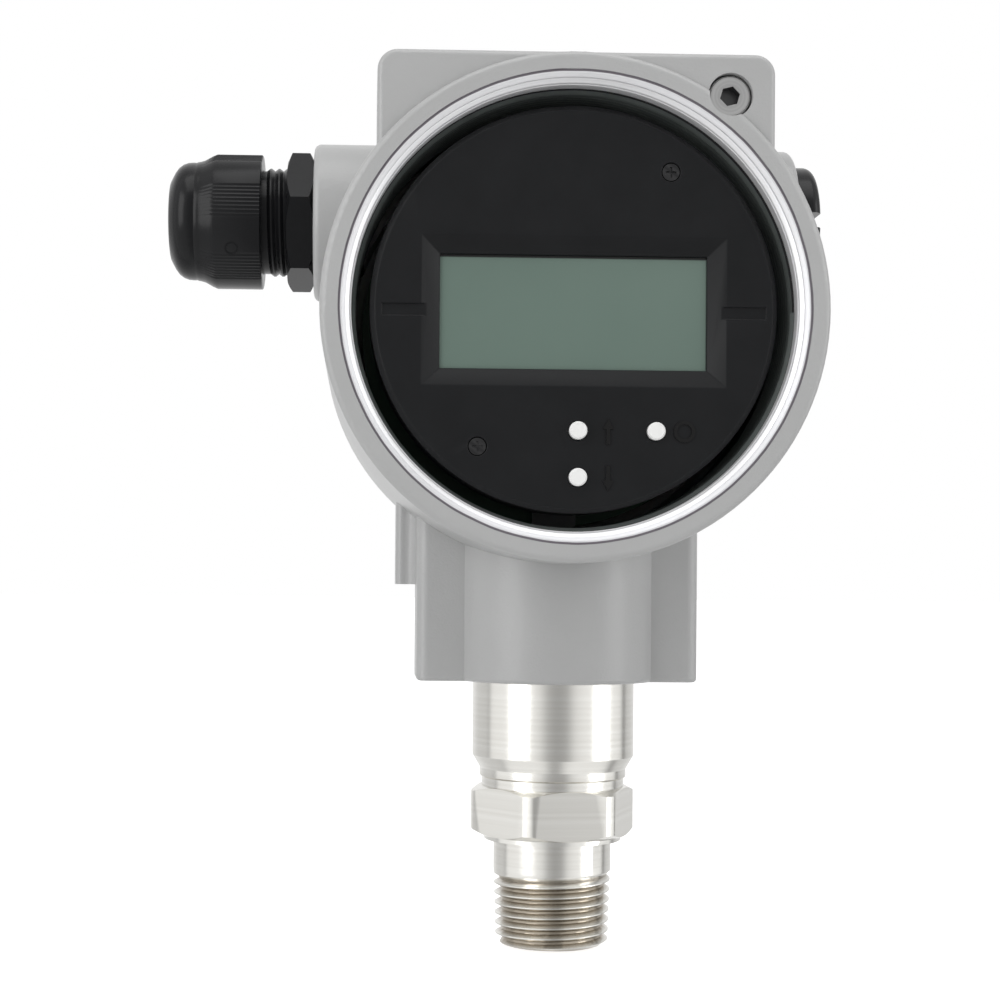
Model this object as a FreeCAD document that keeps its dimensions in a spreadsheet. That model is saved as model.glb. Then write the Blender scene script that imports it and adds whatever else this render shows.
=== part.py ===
# Field pressure transmitter: a cast aluminium head with a local display on a stainless sensor stem.
#
# Frame: millimetres, +Z up. The origin is the centre of the stem's lower end face, the display
# looks towards -Y, the cable gland points towards -X. Pieces of the head are drawn about the
# drum's own axis and lifted by drum_height.

import FreeCAD, Part
import math
import os

import Sketcher
from FreeCAD import Rotation, Vector

# name, value, what it sets. Every length is in millimetres and every angle in degrees.
SIZES = [
    # process connection, turned from hexagon bar
    ("thread_length", 13.4, "length of the tapered process thread"),
    ("thread_top_radius", 10.67, "crest radius where the taper thread runs out"),
    ("thread_taper", 16, "axial run for one of diameter"),
    ("tip_chamfer", 0.9, "chamfer at the lower end"),
    ("shank_radius", 10.7, "plain shank between thread and hexagon"),
    ("shank_length", 5.6, "length of the plain shank"),
    ("collar_radius", 12.5, "turned collar under the hexagon"),
    ("collar_length", 0.9, "height of that collar"),
    ("hex_flats", 27, "spanner size"),
    ("hex_corner_radius", 15, "hexagon corners turned down to this radius"),
    ("hex_height", 8.8, "height of the hexagon"),
    ("hex_chamfer", 0.9, "height of the turned chamfers on the hexagon"),
    ("hex_face_inset", 0.1, "turned faces of the hexagon inside its flats"),
    ("hex_turn", 8, "angle of one hexagon corner from +X"),
    ("spigot_radius", 12.95, "spigot over the hexagon, welded to the sensor tube"),
    ("spigot_length", 1.5, "height of the spigot"),
    ("weld_groove", 0.3, "depth and width of the turned lines at the weld"),
    ("port_radius", 3, "pressure port bore"),
    ("chamber_radius", 9.6, "chamber that holds the sensor"),
    ("chamber_floor", 20.4, "height of the chamber floor"),
    # sensor tube
    ("tube_radius", 14.7, "outside of the sensor tube"),
    ("tube_wall", 2.6, "wall of the sensor tube"),
    ("tube_foot_radius", 13.35, "reduced foot above the weld"),
    ("tube_foot_length", 1.7, "height of the reduced foot"),
    ("tube_cone_length", 2.3, "height of the cone above the foot"),
    ("tube_grip", 12.5, "length of tube inside the neck"),
    ("set_screw_up", 3.75, "set screw over the neck's lower face"),
    ("neck_seal_up", 9, "neck seal over the neck's lower face"),
    ("lock_groove_depth", 0.7, "groove in the tube for the set screw"),
    ("lock_groove_width", 3.2, "width of that groove"),
    ("neck_seal_groove_depth", 1.75, "groove for the neck seal"),
    ("neck_seal_groove_width", 2.3, "width of that groove"),
    # sensor
    ("sensor_height", 5.4, "height of the sensor capsule"),
    ("sensor_seal_section", 1.6, "section of the seal under the sensor"),
    ("sensor_clearance", 0.1, "radial play of the sensor in its chamber"),
    ("retainer_bore_radius", 5.5, "bore of the threaded ring over the sensor"),
    ("pin_radius", 0.35, "sensor connection pins"),
    ("pin_circle", 4, "radius of the pin circle"),
    ("pin_length", 8, "length of the pins"),
    ("pin_play", 0.05, "radial play of the pins in the sensor board"),
    ("sensor_board_radius", 11, "small board over the sensor"),
    ("ribbon_width", 8, "lead from the sensor board to the main board"),
    ("ribbon_thickness", 0.8, "thickness of that lead"),
    ("ribbon_behind", 1, "lead behind the stem axis"),
    # housing casting
    ("drum_height", 111.5, "height of the drum axis over the stem's end"),
    ("drum_radius", 42.6, "outside of the drum"),
    ("drum_front", 35, "front face ahead of the stem axis"),
    ("drum_back", 24, "back face behind the stem axis"),
    ("back_rounding", 5, "rounding of the back edge"),
    ("front_rounding", 1.1, "rounding of the front edge"),
    ("back_wall", 4, "thickness of the back wall"),
    ("shoulder_half_width", 33.3, "half the width of the square shoulders"),
    ("shoulder_top", 42.8, "top of the shoulders over the drum axis"),
    ("shoulder_foot", 12, "foot of the shoulders, buried in the drum"),
    ("shoulder_setback", 1.3, "shoulders behind the front face"),
    ("shoulder_thickness", 17, "thickness of the shoulders"),
    ("shoulder_corner", 3.4, "corner radius of the shoulders"),
    ("shoulder_rounding", 1, "edge rounding of the shoulders"),
    ("conduit_height", 19.5, "cable entries over the drum axis"),
    ("conduit_boss_radius", 14.2, "outside of the cable entry bosses"),
    ("conduit_left_reach", 44.4, "end of the gland's boss"),
    ("conduit_right_reach", 42.2, "end of the plug's boss"),
    ("conduit_rounding", 1.2, "rounding of the boss rims"),
    ("spot_face_margin", 1, "spot faces around what is screwed into the entries"),
    ("conduit_bore_radius", 10, "tapped bore of the cable entries"),
    ("seal_recess_radius", 11.05, "recess for the entry seals"),
    ("seal_recess_depth", 1.1, "depth of that recess"),
    ("neck_bottom", 47.85, "height of the neck's lower face over the stem's end"),
    ("neck_radius", 18.6, "round neck around the sensor tube"),
    ("web_half_width", 25.3, "side webs of the neck"),
    ("web_half_thickness", 8, "half the thickness of the webs"),
    ("web_corner", 2, "corner radius of the webs"),
    ("neck_rounding", 0.7, "edge rounding under the neck"),
    ("neck_root", 30, "neck and earth boss run up to this far below the drum axis"),
    ("tube_clearance", 0.05, "radial play of the tube in the neck"),
    ("lead_passage_radius", 9, "passage from the neck to the drum"),
    ("earth_boss_rounding", 1.2, "edge rounding of the earth boss"),
    ("earth_boss_reach", 29, "outer side of the earth terminal boss"),
    ("earth_boss_width", 12, "width of that boss"),
    ("earth_boss_bottom", 46.4, "lower end of that boss below the drum axis"),
    ("earth_boss_front", 2, "front of that boss behind the stem axis"),
    ("earth_boss_depth", 10, "thickness of that boss"),
    ("earth_screw_inset", 5, "earth screw from the boss's side and end"),
    # front bore
    ("lip_radius", 39.5, "bare machined lip of the front bore"),
    ("lip_step", 0.2, "lip below the painted face"),
    ("mouth_radius", 38.3, "plain lead-in before the cover thread"),
    ("mouth_chamfer", 0.6, "chamfer of the mouth"),
    ("mouth_depth", 4.6, "depth of the lead-in"),
    ("cover_thread_radius", 37.2, "crest radius of the internal cover thread"),
    ("cover_thread_depth", 20, "depth to the thread's end"),
    ("cavity_radius", 37.9, "cavity behind the thread"),
    # lock screw
    ("lock_across", 25.7, "lock screw to the right of the drum axis"),
    ("lock_up", 35.8, "lock screw over the drum axis"),
    ("lock_head_radius", 3.5, "head of the lock screw"),
    ("lock_head_height", 4, "height of that head"),
    ("lock_head_edge", 0.3, "chamfer of that head"),
    ("lock_shank_radius", 1.95, "shank of the lock screw"),
    ("lock_shank_length", 9, "length of that shank"),
    ("lock_recess", 0.8, "head below the shoulder's face"),
    ("lock_head_play", 0.25, "radial play around the head"),
    ("lock_socket_flats", 3, "hexagon socket"),
    ("lock_socket_depth", 2.2, "depth of the socket"),
    ("lock_turn", 14, "angle of one socket corner from +X"),
    ("thread_play", 0.05, "radial play of screws in tapped holes"),
    ("cut_over", 1, "how far a cutting sketch runs past the solid"),
    # display
    ("bezel_setback", 3.4, "display face behind the drum's front face"),
    ("bezel_radius", 34.3, "outside of the display cup"),
    ("bezel_chamfer", 0.9, "chamfer around the display face"),
    ("bezel_face", 2, "thickness of the display face"),
    ("bezel_skirt", 1.5, "wall of the display cup"),
    ("bezel_depth", 9.4, "depth of the display cup"),
    ("window_width", 45, "visible width of the liquid crystal cell"),
    ("window_height", 19.2, "visible height of the cell"),
    ("window_drop", 0.4, "window below the face's centre"),
    ("frame_width", 51.3, "outer width of the bevelled frame"),
    ("frame_height", 25.2, "outer height of the bevelled frame"),
    ("frame_depth", 1.5, "depth of the bevel"),
    ("side_slot_length", 6.6, "shallow slots beside the frame"),
    ("side_slot_height", 2, "height of those slots"),
    ("side_slot_depth", 0.4, "depth of those slots"),
    ("screw_across", 16.1, "display screws beside the centre"),
    ("screw_up", 23.2, "display screws above and below the centre"),
    ("screw_head_radius", 1.45, "head of a display screw"),
    ("screw_head_height", 1, "height of that head"),
    ("screw_radius", 1, "shank of a display screw"),
    ("screw_length", 12, "length of that shank"),
    ("screw_recess", 0.2, "head below the display face"),
    ("screw_play", 0.15, "radial play around screw heads and shanks"),
    ("screw_boss_radius", 2.8, "screw bosses behind the display face"),
    ("screw_cross_arm", 0.9, "arm of the cross in a display screw"),
    ("screw_cross_width", 0.38, "width of the cross"),
    ("screw_cross_depth", 0.6, "depth of the cross"),
    ("cell_thickness", 1.8, "thickness of the liquid crystal cell"),
    ("cell_border", 2, "hidden border of the cell"),
    ("backlight_thickness", 2.3, "light guide behind the cell"),
    ("backlight_border", 3, "hidden border of the light guide"),
    ("board_thickness", 1.6, "circuit boards"),
    ("display_board_radius", 32.2, "board behind the display"),
    ("spacer_flats", 4.5, "hexagonal spacers"),
    ("stud_radius", 1.4, "threaded stud of a spacer"),
    ("stud_length", 8, "length of that stud"),
    ("post_radius", 3.5, "cast posts that carry the boards"),
    ("post_height", 15, "posts ahead of the back wall"),
    ("main_board_radius", 35.5, "main board"),
    # buttons
    ("button_radius", 1.5, "button caps"),
    ("button_play", 0.1, "radial play of a cap in its hole"),
    ("button_stand", 1.2, "caps ahead of the display face"),
    ("button_edge", 0.25, "chamfer of a cap"),
    ("button_travel", 0.4, "travel of a cap"),
    ("button_flange", 2.2, "radius of the collar that keeps a cap in"),
    ("button_flange_height", 0.8, "height of that collar"),
    ("button_gap", 0.1, "collar behind the display face at rest"),
    ("button_column", 0.7, "up and down buttons beside the centre"),
    ("button_row", 20.4, "upper buttons below the centre"),
    ("button_step_across", 13.1, "enter button beside the up button"),
    ("button_step_down", 7.8, "down button below the up button"),
    ("switch_side", 4.4, "tactile switches"),
    ("switch_plunger_radius", 0.9, "plunger of a switch"),
    ("switch_plunger_height", 0.6, "height of that plunger"),
    # terminals on the main board
    ("terminal_width", 24, "terminal block"),
    ("terminal_height", 8, "height of the block on the board"),
    ("terminal_depth", 9, "how far the block stands out"),
    ("terminal_drop", 23, "block below the drum axis"),
    ("terminal_count", 3, "ways of the block"),
    ("terminal_well_radius", 1.9, "wells of the clamping screws"),
    ("terminal_screw_radius", 1.75, "clamping screws"),
    ("terminal_screw_length", 4, "length of a clamping screw"),
    ("terminal_screw_sunk", 1, "clamping screws below the block's face"),
    ("terminal_slot_depth", 0.8, "driver slot of a clamping screw"),
    ("terminal_slot_width", 0.5, "width of that slot"),
    ("wire_entry_radius", 1.3, "wire entries of the block"),
    ("wire_entry_up", 2.5, "wire entries over the board"),
    ("socket_width", 10, "ribbon socket"),
    ("socket_height", 4, "height of the socket on the board"),
    ("socket_depth", 3.6, "how far the socket stands out"),
    ("socket_drop", 31, "lower side of the socket below the drum axis"),
    # cable gland
    ("gland_thread_radius", 9.95, "entry thread of gland and plug"),
    ("gland_thread_length", 9, "length of that thread"),
    ("gland_flats", 24, "hexagon of the gland body"),
    ("gland_hex_height", 4.8, "height of that hexagon"),
    ("gland_hex_turn", 38.6, "angle of the gland hexagon about its axis"),
    ("gland_hex_chamfer", 0.8, "turned chamfer of that hexagon"),
    ("gland_neck_radius", 9.3, "thread under the cap nut"),
    ("gland_neck_length", 13.4, "length of that thread"),
    ("gland_bore_radius", 6.6, "bore of the gland body"),
    ("gland_seat_radius", 8, "seat of the rubber seal"),
    ("gland_seat_depth", 8, "depth of that seat"),
    ("finger_count", 8, "clamping fingers"),
    ("finger_slot", 1, "slots between the fingers"),
    ("finger_length", 4.5, "length of the fingers"),
    ("seal_play", 0.1, "play of the rubber seal in its seat"),
    ("seal_bore_radius", 5, "cable bore of the rubber seal"),
    ("seal_length", 9.5, "length of the rubber seal"),
    ("seal_taper", 1, "taper at the seal's outer end"),
    ("cap_gap", 3.9, "exposed thread between hexagon and cap nut"),
    ("cap_radius", 12.35, "outside of the cap nut"),
    ("cap_grip_length", 12, "ribbed part of the cap nut"),
    ("cap_neck_radius", 11, "smooth nose behind the ribs"),
    ("cap_nose_length", 6.2, "length of the smooth nose"),
    ("cap_nose_rounding", 3, "rounding of the nose"),
    ("cap_mouth_radius", 6.8, "cable opening of the cap nut"),
    ("cap_play", 0.08, "running play on the gland's thread"),
    ("cap_wall", 1.4, "end wall of the cap nut"),
    ("cap_cone_gap", 2, "cap nut's inner cone beyond the gland's thread"),
    ("cap_edge", 0.6, "chamfer of the ribbed part"),
    ("cap_shoulder", 1, "length of the step from ribs to nose"),
    ("rib_groups", 6, "groups of ribs around the cap nut"),
    ("rib_slots", 5, "slots in one group"),
    ("rib_pitch", 7.2, "angle from slot to slot"),
    ("rib_slot_width", 0.7, "width of a slot"),
    ("rib_slot_depth", 0.45, "depth of a slot"),
    ("rib_end", 1.2, "plain end of the ribbed part"),
    ("entry_seal_section", 1, "section of the entry seals"),
    # blanking plug
    ("plug_head_radius", 11.35, "head of the blanking plug"),
    ("plug_head_height", 4.4, "height of that head"),
    ("plug_rounding", 1.8, "rounding of the head"),
    ("plug_slot_width", 2.6, "coin slot"),
    ("plug_slot_depth", 2, "depth of the coin slot"),
    ("plug_bore_radius", 7.6, "hollow of the plug"),
    # neck set screw and earth terminal
    ("set_screw_radius", 2, "tapped hole of the set screw"),
    ("set_screw_socket_flats", 2, "hexagon socket of the set screw"),
    ("set_screw_socket_depth", 1.6, "depth of that socket"),
    ("set_screw_sunk", 0.5, "set screw below the neck's surface"),
    ("set_screw_gap", 0.1, "slackened set screw clear of the tube's groove"),
    ("earth_hole_radius", 2, "tapped hole of the earth screw"),
    ("earth_head_radius", 3.6, "head of the earth screw"),
    ("earth_head_height", 2.6, "height of that head"),
    ("earth_head_edge", 0.5, "chamfer of that head"),
    ("earth_shank_length", 7, "shank in the boss"),
    ("earth_slot_width", 1.2, "driver slot"),
    ("earth_slot_depth", 1.3, "depth of the driver slot"),
    ("earth_clamp_side", 8, "square wire clamp"),
    ("earth_clamp_thickness", 1.2, "thickness of the clamp"),
    ("earth_clamp_play", 0.2, "radial play of the screw in the clamp"),
]

doc = FreeCAD.newDocument("pressure_transmitter")
sheet = doc.addObject("Spreadsheet::Sheet", "sizes")


class Dim:
    # A size with its value and the sheet expression that it is worked out by.
    def __init__(self, text, value):
        self.text = text
        self.value = value

    def __add__(self, other):
        other = as_dim(other)
        return Dim(f"({self.text} + {other.text})", self.value + other.value)

    def __sub__(self, other):
        other = as_dim(other)
        return Dim(f"({self.text} - {other.text})", self.value - other.value)

    def __rsub__(self, other):
        return as_dim(other) - self

    def __mul__(self, other):
        other = as_dim(other)
        return Dim(f"({self.text} * {other.text})", self.value * other.value)

    def __truediv__(self, other):
        other = as_dim(other)
        return Dim(f"({self.text} / {other.text})", self.value / other.value)

    def __neg__(self):
        return Dim(f"(-1 * {self.text})", -self.value)

    __radd__ = __add__
    __rmul__ = __mul__


def as_dim(value):
    return value if isinstance(value, Dim) else Dim(f"({value:.12g})", float(value))


def cosine(angle):
    angle = as_dim(angle)
    return Dim(f"cos({angle.text} * 1 deg)", math.cos(math.radians(angle.value)))


def sine(angle):
    angle = as_dim(angle)
    return Dim(f"sin({angle.text} * 1 deg)", math.sin(math.radians(angle.value)))


class Sizes:
    pass


size = Sizes()
for row, (name, value, note) in enumerate(SIZES, start=1):
    sheet.set(f"A{row}", name)
    sheet.set(f"B{row}", str(value))
    sheet.set(f"C{row}", note)
    sheet.setAlias(f"B{row}", name)
    setattr(size, name, Dim(f"sizes.{name}", float(value)))
doc.recompute()

pieces = []


def bind(target, prop, value):
    target.setExpression(prop, as_dim(value).text)


def place(target, at):
    for axis, value in zip("xyz", at):
        bind(target, f"Placement.Base.{axis}", value)


def new_piece(label, at=(0, 0, 0)):
    body = doc.addObject("PartDesign::Body", label)
    body.Label = label
    place(body, at)
    pieces.append(body)
    return body


def new_sketch(body, plane, ahead=0, across=0, up=0):
    # A sketch on one of the body's origin planes; ahead runs along the plane's normal, which
    # is +Z for XY, -Y for XZ and +X for YZ. across and up move the sketch's own origin.
    sketch = body.newObject("Sketcher::SketchObject", "Sketch")
    base = next(item for item in body.Origin.OriginFeatures if item.Role == plane + "_Plane")
    sketch.AttachmentSupport = [(base, "")]
    sketch.MapMode = "FlatFace"
    for axis, value in zip("xyz", (across, up, ahead)):
        bind(sketch, f"AttachmentOffset.Base.{axis}", value)
    return sketch


def hold_point(sketch, geometry, end, x, y):
    for kind, value in (("DistanceX", as_dim(x)), ("DistanceY", as_dim(y))):
        constraint = Sketcher.Constraint(kind, -1, 1, geometry, end, value.value)
        index = sketch.addConstraint(constraint)
        if value.text.count("sizes."):
            sketch.setExpression(f"Constraints[{index}]", value.text)


def outline(sketch, points):
    # A closed outline through the points, each held by its two distances from the origin.
    first = sketch.GeometryCount
    ends = [Vector(as_dim(x).value, as_dim(y).value, 0) for x, y in points]
    for here, there in zip(ends, ends[1:] + ends[:1]):
        sketch.addGeometry(Part.LineSegment(here, there), False)
    for index in range(len(points)):
        following = first + (index + 1) % len(points)
        sketch.addConstraint(Sketcher.Constraint("Coincident", first + index, 2, following, 1))
    for index, (x, y) in enumerate(points):
        hold_point(sketch, first + index, 1, x, y)
    return sketch


def rectangle(sketch, left, right, low, high):
    return outline(sketch, [(left, low), (right, low), (right, high), (left, high)])


def polygon(sketch, flats, turn, sides=6, x=0, y=0):
    corner = flats / (2 * cosine(180 / sides))
    angles = [turn + 360 / sides * index for index in range(sides)]
    return outline(sketch, [(x + corner * cosine(a), y + corner * sine(a)) for a in angles])


def circle(sketch, radius, x=0, y=0):
    centre = Vector(as_dim(x).value, as_dim(y).value, 0)
    geometry = sketch.addGeometry(Part.Circle(centre, Vector(0, 0, 1), radius.value), False)
    index = sketch.addConstraint(Sketcher.Constraint("Radius", geometry, radius.value))
    sketch.setExpression(f"Constraints[{index}]", radius.text)
    hold_point(sketch, geometry, 3, x, y)
    return sketch


def swept(body, kind, sketch, length=None, reverse=False):
    feature = body.newObject("PartDesign::" + kind, kind)
    feature.Profile = sketch
    if length is None:
        feature.Type = "ThroughAll"
    else:
        bind(feature, "Length", length)
    feature.Reversed = reverse
    sketch.Visibility = False
    return feature


def pad(body, sketch, length, reverse=False):
    return swept(body, "Pad", sketch, length, reverse)


def pocket(body, sketch, length=None, reverse=False):
    return swept(body, "Pocket", sketch, length, reverse)


def turned(body, kind, sketch, axis):
    # kind is Revolution or Groove; axis is H_Axis or V_Axis of the sketch.
    feature = body.newObject("PartDesign::" + kind, kind)
    feature.Profile = sketch
    feature.ReferenceAxis = (sketch, [axis])
    feature.Angle = 360
    sketch.Visibility = False
    return feature


def around(body, feature, sketch, axis, count, angle=360):
    # Copies a feature about an axis of its sketch. angle is the whole turn the copies share.
    pattern = body.newObject("PartDesign::PolarPattern", "PolarPattern")
    pattern.Originals = [feature]
    pattern.Axis = (sketch, [axis])
    bind(pattern, "Angle", angle)
    bind(pattern, "Occurrences", count)
    body.Tip = pattern
    return pattern


def round_edges(body, radius, chosen, kind="Fillet"):
    # Rounds or chamfers the edges of the body so far that pass the test.
    doc.recompute()
    base = body.Tip
    names = [f"Edge{n}" for n, edge in enumerate(base.Shape.Edges, start=1) if chosen(edge)]
    feature = body.newObject("PartDesign::" + kind, kind)
    feature.Base = (base, names)
    bind(feature, "Radius" if kind == "Fillet" else "Size", radius)
    return feature


def is_rim(edge, radius, axis, level):
    # True for a full circle of this radius in the plane where the axis coordinate is level.
    if edge.Curve.TypeId != "Part::GeomCircle" or abs(edge.Curve.Radius - radius.value) > 1e-4:
        return False
    return abs(getattr(edge.Curve.Center, axis) - as_dim(level).value) < 1e-4


def is_upright(edge):
    return edge.BoundBox.XLength < 1e-4 and edge.BoundBox.YLength < 1e-4


def lies_at(edge, axis, level):
    box = edge.BoundBox
    low, high = getattr(box, axis.upper() + "Min"), getattr(box, axis.upper() + "Max")
    return abs(low - as_dim(level).value) < 1e-4 and abs(high - as_dim(level).value) < 1e-4


# ---- places that several pieces share ----

head = (0, 0, size.drum_height)
shank_bottom = size.thread_length
collar_bottom = shank_bottom + size.shank_length
hex_bottom = collar_bottom + size.collar_length
hex_top = hex_bottom + size.hex_height
weld = hex_top + size.spigot_length
tube_bore = size.tube_radius - size.tube_wall
tube_top = size.neck_bottom + size.tube_grip
neck_drop = size.drum_height - size.neck_bottom
set_screw_height = size.neck_bottom + size.set_screw_up
neck_seal_height = size.neck_bottom + size.neck_seal_up
shoulder_front = size.drum_front - size.shoulder_setback
lock_head_front = shoulder_front - size.lock_recess
lock_seat = lock_head_front - size.lock_head_height
bezel_front = size.drum_front - size.bezel_setback
bezel_back = bezel_front - size.bezel_face
cell_back = bezel_back - size.cell_thickness
display_board_front = cell_back - size.backlight_thickness
display_board_back = display_board_front - size.board_thickness
cavity_back = size.drum_back - size.back_wall
post_front = size.post_height - cavity_back
main_board_front = post_front + size.board_thickness
screw_seat = bezel_front - size.screw_recess - size.screw_head_height
gland_neck_end = size.conduit_left_reach + size.gland_hex_height + size.gland_neck_length
cap_start = size.conduit_left_reach + size.gland_hex_height + size.cap_gap
cap_grip_end = cap_start + size.cap_grip_length
cap_end = cap_grip_end + size.cap_nose_length
entry = (0, 0, size.drum_height + size.conduit_height)
screw_places = [(size.screw_across, size.screw_up), (-size.screw_across, -size.screw_up)]
earth_place = (size.earth_screw_inset - size.earth_boss_reach,
               size.earth_screw_inset - size.earth_boss_bottom)
button_places = {
    "up_button": (size.button_column, -size.button_row),
    "enter_button": (size.button_column + size.button_step_across, -size.button_row),
    "down_button": (size.button_column, -size.button_row - size.button_step_down),
}
collar_front = bezel_back - size.button_gap
button_back = collar_front - size.button_flange_height
switch_top = button_back - size.button_travel - size.button_gap - size.switch_plunger_height


# ---- stem ----

def process_connection():
    body = new_piece("process_connection")
    thread_tip = size.thread_top_radius - size.thread_length / (2 * size.thread_taper)
    hex_flat = size.hex_flats / 2
    sketch = new_sketch(body, "XZ")
    outline(sketch, [
        (size.port_radius, 0),
        (thread_tip - size.tip_chamfer, 0),
        (thread_tip, size.tip_chamfer),
        (size.thread_top_radius, shank_bottom),
        (size.shank_radius, shank_bottom),
        (size.shank_radius, collar_bottom),
        (size.collar_radius, collar_bottom),
        (size.collar_radius, hex_bottom),
        (hex_flat - size.hex_face_inset, hex_bottom),
        (size.hex_corner_radius, hex_bottom + size.hex_chamfer),
        (size.hex_corner_radius, hex_top - size.hex_chamfer),
        (hex_flat - size.hex_face_inset, hex_top),
        (size.spigot_radius, hex_top),
        (size.spigot_radius, weld),
        (size.chamber_radius, weld),
        (size.chamber_radius, size.chamber_floor),
        (size.port_radius, size.chamber_floor),
    ])
    turned(body, "Revolution", sketch, "V_Axis")
    flats = new_sketch(body, "XY", ahead=hex_bottom)
    circle(flats, size.hex_corner_radius + size.cut_over)
    polygon(flats, size.hex_flats, size.hex_turn)
    pocket(body, flats, size.hex_height, reverse=True)


def sensor_tube():
    body = new_piece("sensor_tube")
    foot_top = weld + size.tube_foot_length
    cone_top = foot_top + size.tube_cone_length
    groove_floor = size.tube_radius - size.lock_groove_depth
    seal_floor = size.tube_radius - size.neck_seal_groove_depth
    sketch = new_sketch(body, "XZ")
    outline(sketch, [
        (tube_bore, weld),
        (size.tube_foot_radius - size.weld_groove, weld),
        (size.tube_foot_radius, weld + size.weld_groove),
        (size.tube_foot_radius, foot_top),
        (size.tube_radius, cone_top),
        (size.tube_radius, set_screw_height - size.lock_groove_width / 2),
        (groove_floor, set_screw_height - size.lock_groove_width / 2),
        (groove_floor, set_screw_height + size.lock_groove_width / 2),
        (size.tube_radius, set_screw_height + size.lock_groove_width / 2),
        (size.tube_radius, neck_seal_height - size.neck_seal_groove_width / 2),
        (seal_floor, neck_seal_height - size.neck_seal_groove_width / 2),
        (seal_floor, neck_seal_height + size.neck_seal_groove_width / 2),
        (size.tube_radius, neck_seal_height + size.neck_seal_groove_width / 2),
        (size.tube_radius, tube_top - size.tip_chamfer),
        (size.tube_radius - size.tip_chamfer, tube_top),
        (tube_bore, tube_top),
    ])
    turned(body, "Revolution", sketch, "V_Axis")


def ring_seal(label, inner, outer, at, axis):
    # An O-ring that fills the radial room between inner and outer.
    seal = doc.addObject("Part::Torus", label)
    seal.Label = label
    bind(seal, "Radius1", (inner + outer) / 2)
    bind(seal, "Radius2", (outer - inner) / 2)
    turn = {"X": Rotation(Vector(0, 1, 0), 90), "Z": Rotation()}[axis]
    seal.Placement.Rotation = turn
    place(seal, at)
    pieces.append(seal)


def pressure_sensor():
    floor = size.chamber_floor + size.sensor_seal_section
    body = new_piece("pressure_sensor")
    radius = size.chamber_radius - size.sensor_clearance
    capsule = new_sketch(body, "XY", ahead=floor)
    circle(capsule, radius)
    pad(body, capsule, size.sensor_height)
    top = floor + size.sensor_height
    pin = new_sketch(body, "XY", ahead=top)
    circle(pin, size.pin_radius, x=size.pin_circle)
    pad(body, pin, size.pin_length)
    around(body, body.Tip, pin, "N_Axis", 4)

    retainer = new_piece("sensor_retainer")
    ring = new_sketch(retainer, "XY", ahead=top)
    circle(ring, radius)
    circle(ring, size.retainer_bore_radius)
    pad(retainer, ring, weld - top)

    board = new_piece("sensor_board")
    plate = new_sketch(board, "XY", ahead=top + size.pin_length - size.board_thickness)
    circle(plate, size.sensor_board_radius)
    for turn in range(4):
        angle = 90 * turn
        circle(plate, size.pin_radius + size.pin_play, size.pin_circle * cosine(angle),
               size.pin_circle * sine(angle))
    pad(board, plate, size.board_thickness)

    ribbon = new_piece("sensor_ribbon")
    start = top + size.pin_length
    band = new_sketch(ribbon, "XY", ahead=start)
    rectangle(band, -size.ribbon_width / 2, size.ribbon_width / 2,
              size.ribbon_behind, size.ribbon_behind + size.ribbon_thickness)
    pad(ribbon, band, size.drum_height - size.socket_drop - start)


# ---- head casting ----

def drum_and_shoulders(body):
    shoulders = new_sketch(body, "XZ", ahead=shoulder_front - size.shoulder_thickness)
    rectangle(shoulders, -size.shoulder_half_width, size.shoulder_half_width,
              size.shoulder_foot, size.shoulder_top)
    pad(body, shoulders, size.shoulder_thickness)
    round_edges(body, size.shoulder_corner,
                lambda edge: lies_at(edge, "z", size.shoulder_top)
                and abs(edge.tangentAt(edge.FirstParameter).y) > 0.9)
    back_face = size.shoulder_thickness - shoulder_front
    round_edges(body, size.shoulder_rounding,
                lambda edge: (lies_at(edge, "y", -shoulder_front) or lies_at(edge, "y", back_face))
                and not lies_at(edge, "z", size.shoulder_foot))
    drum = new_sketch(body, "XZ", ahead=-size.drum_back)
    circle(drum, size.drum_radius)
    pad(body, drum, size.drum_back + size.drum_front)
    round_edges(body, size.front_rounding,
                lambda edge: is_rim(edge, size.drum_radius, "y", -size.drum_front))
    round_edges(body, size.back_rounding,
                lambda edge: is_rim(edge, size.drum_radius, "y", size.drum_back))


def cable_entry_bosses(body):
    left, right = size.conduit_left_reach, size.conduit_right_reach
    boss = new_sketch(body, "YZ", ahead=-left)
    circle(boss, size.conduit_boss_radius, y=size.conduit_height)
    pad(body, boss, left + right)
    for level in (-left, right):
        round_edges(body, size.conduit_rounding,
                    lambda edge: is_rim(edge, size.conduit_boss_radius, "x", level))


def neck(body):
    rise = neck_drop - size.neck_root
    webs = new_sketch(body, "XY", ahead=-neck_drop)
    rectangle(webs, -size.web_half_width, size.web_half_width,
              -size.web_half_thickness, size.web_half_thickness)
    pad(body, webs, rise)
    round_edges(body, size.web_corner,
                lambda edge: (lies_at(edge, "x", -size.web_half_width)
                              or lies_at(edge, "x", size.web_half_width))
                and abs(edge.tangentAt(edge.FirstParameter).z) > 0.9)
    barrel = new_sketch(body, "XY", ahead=-neck_drop)
    circle(barrel, size.neck_radius)
    pad(body, barrel, rise)
    round_edges(body, size.neck_rounding, lambda edge: lies_at(edge, "z", -neck_drop))


def earth_boss(body):
    left, bottom = -size.earth_boss_reach, -size.earth_boss_bottom
    front, back = size.earth_boss_front, size.earth_boss_front + size.earth_boss_depth
    boss = new_sketch(body, "XY", ahead=bottom)
    rectangle(boss, left, left + size.earth_boss_width, front, back)
    pad(body, boss, size.earth_boss_bottom - size.neck_root)
    round_edges(body, size.earth_boss_rounding,
                lambda edge: lies_at(edge, "x", left) and is_upright(edge))


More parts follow.
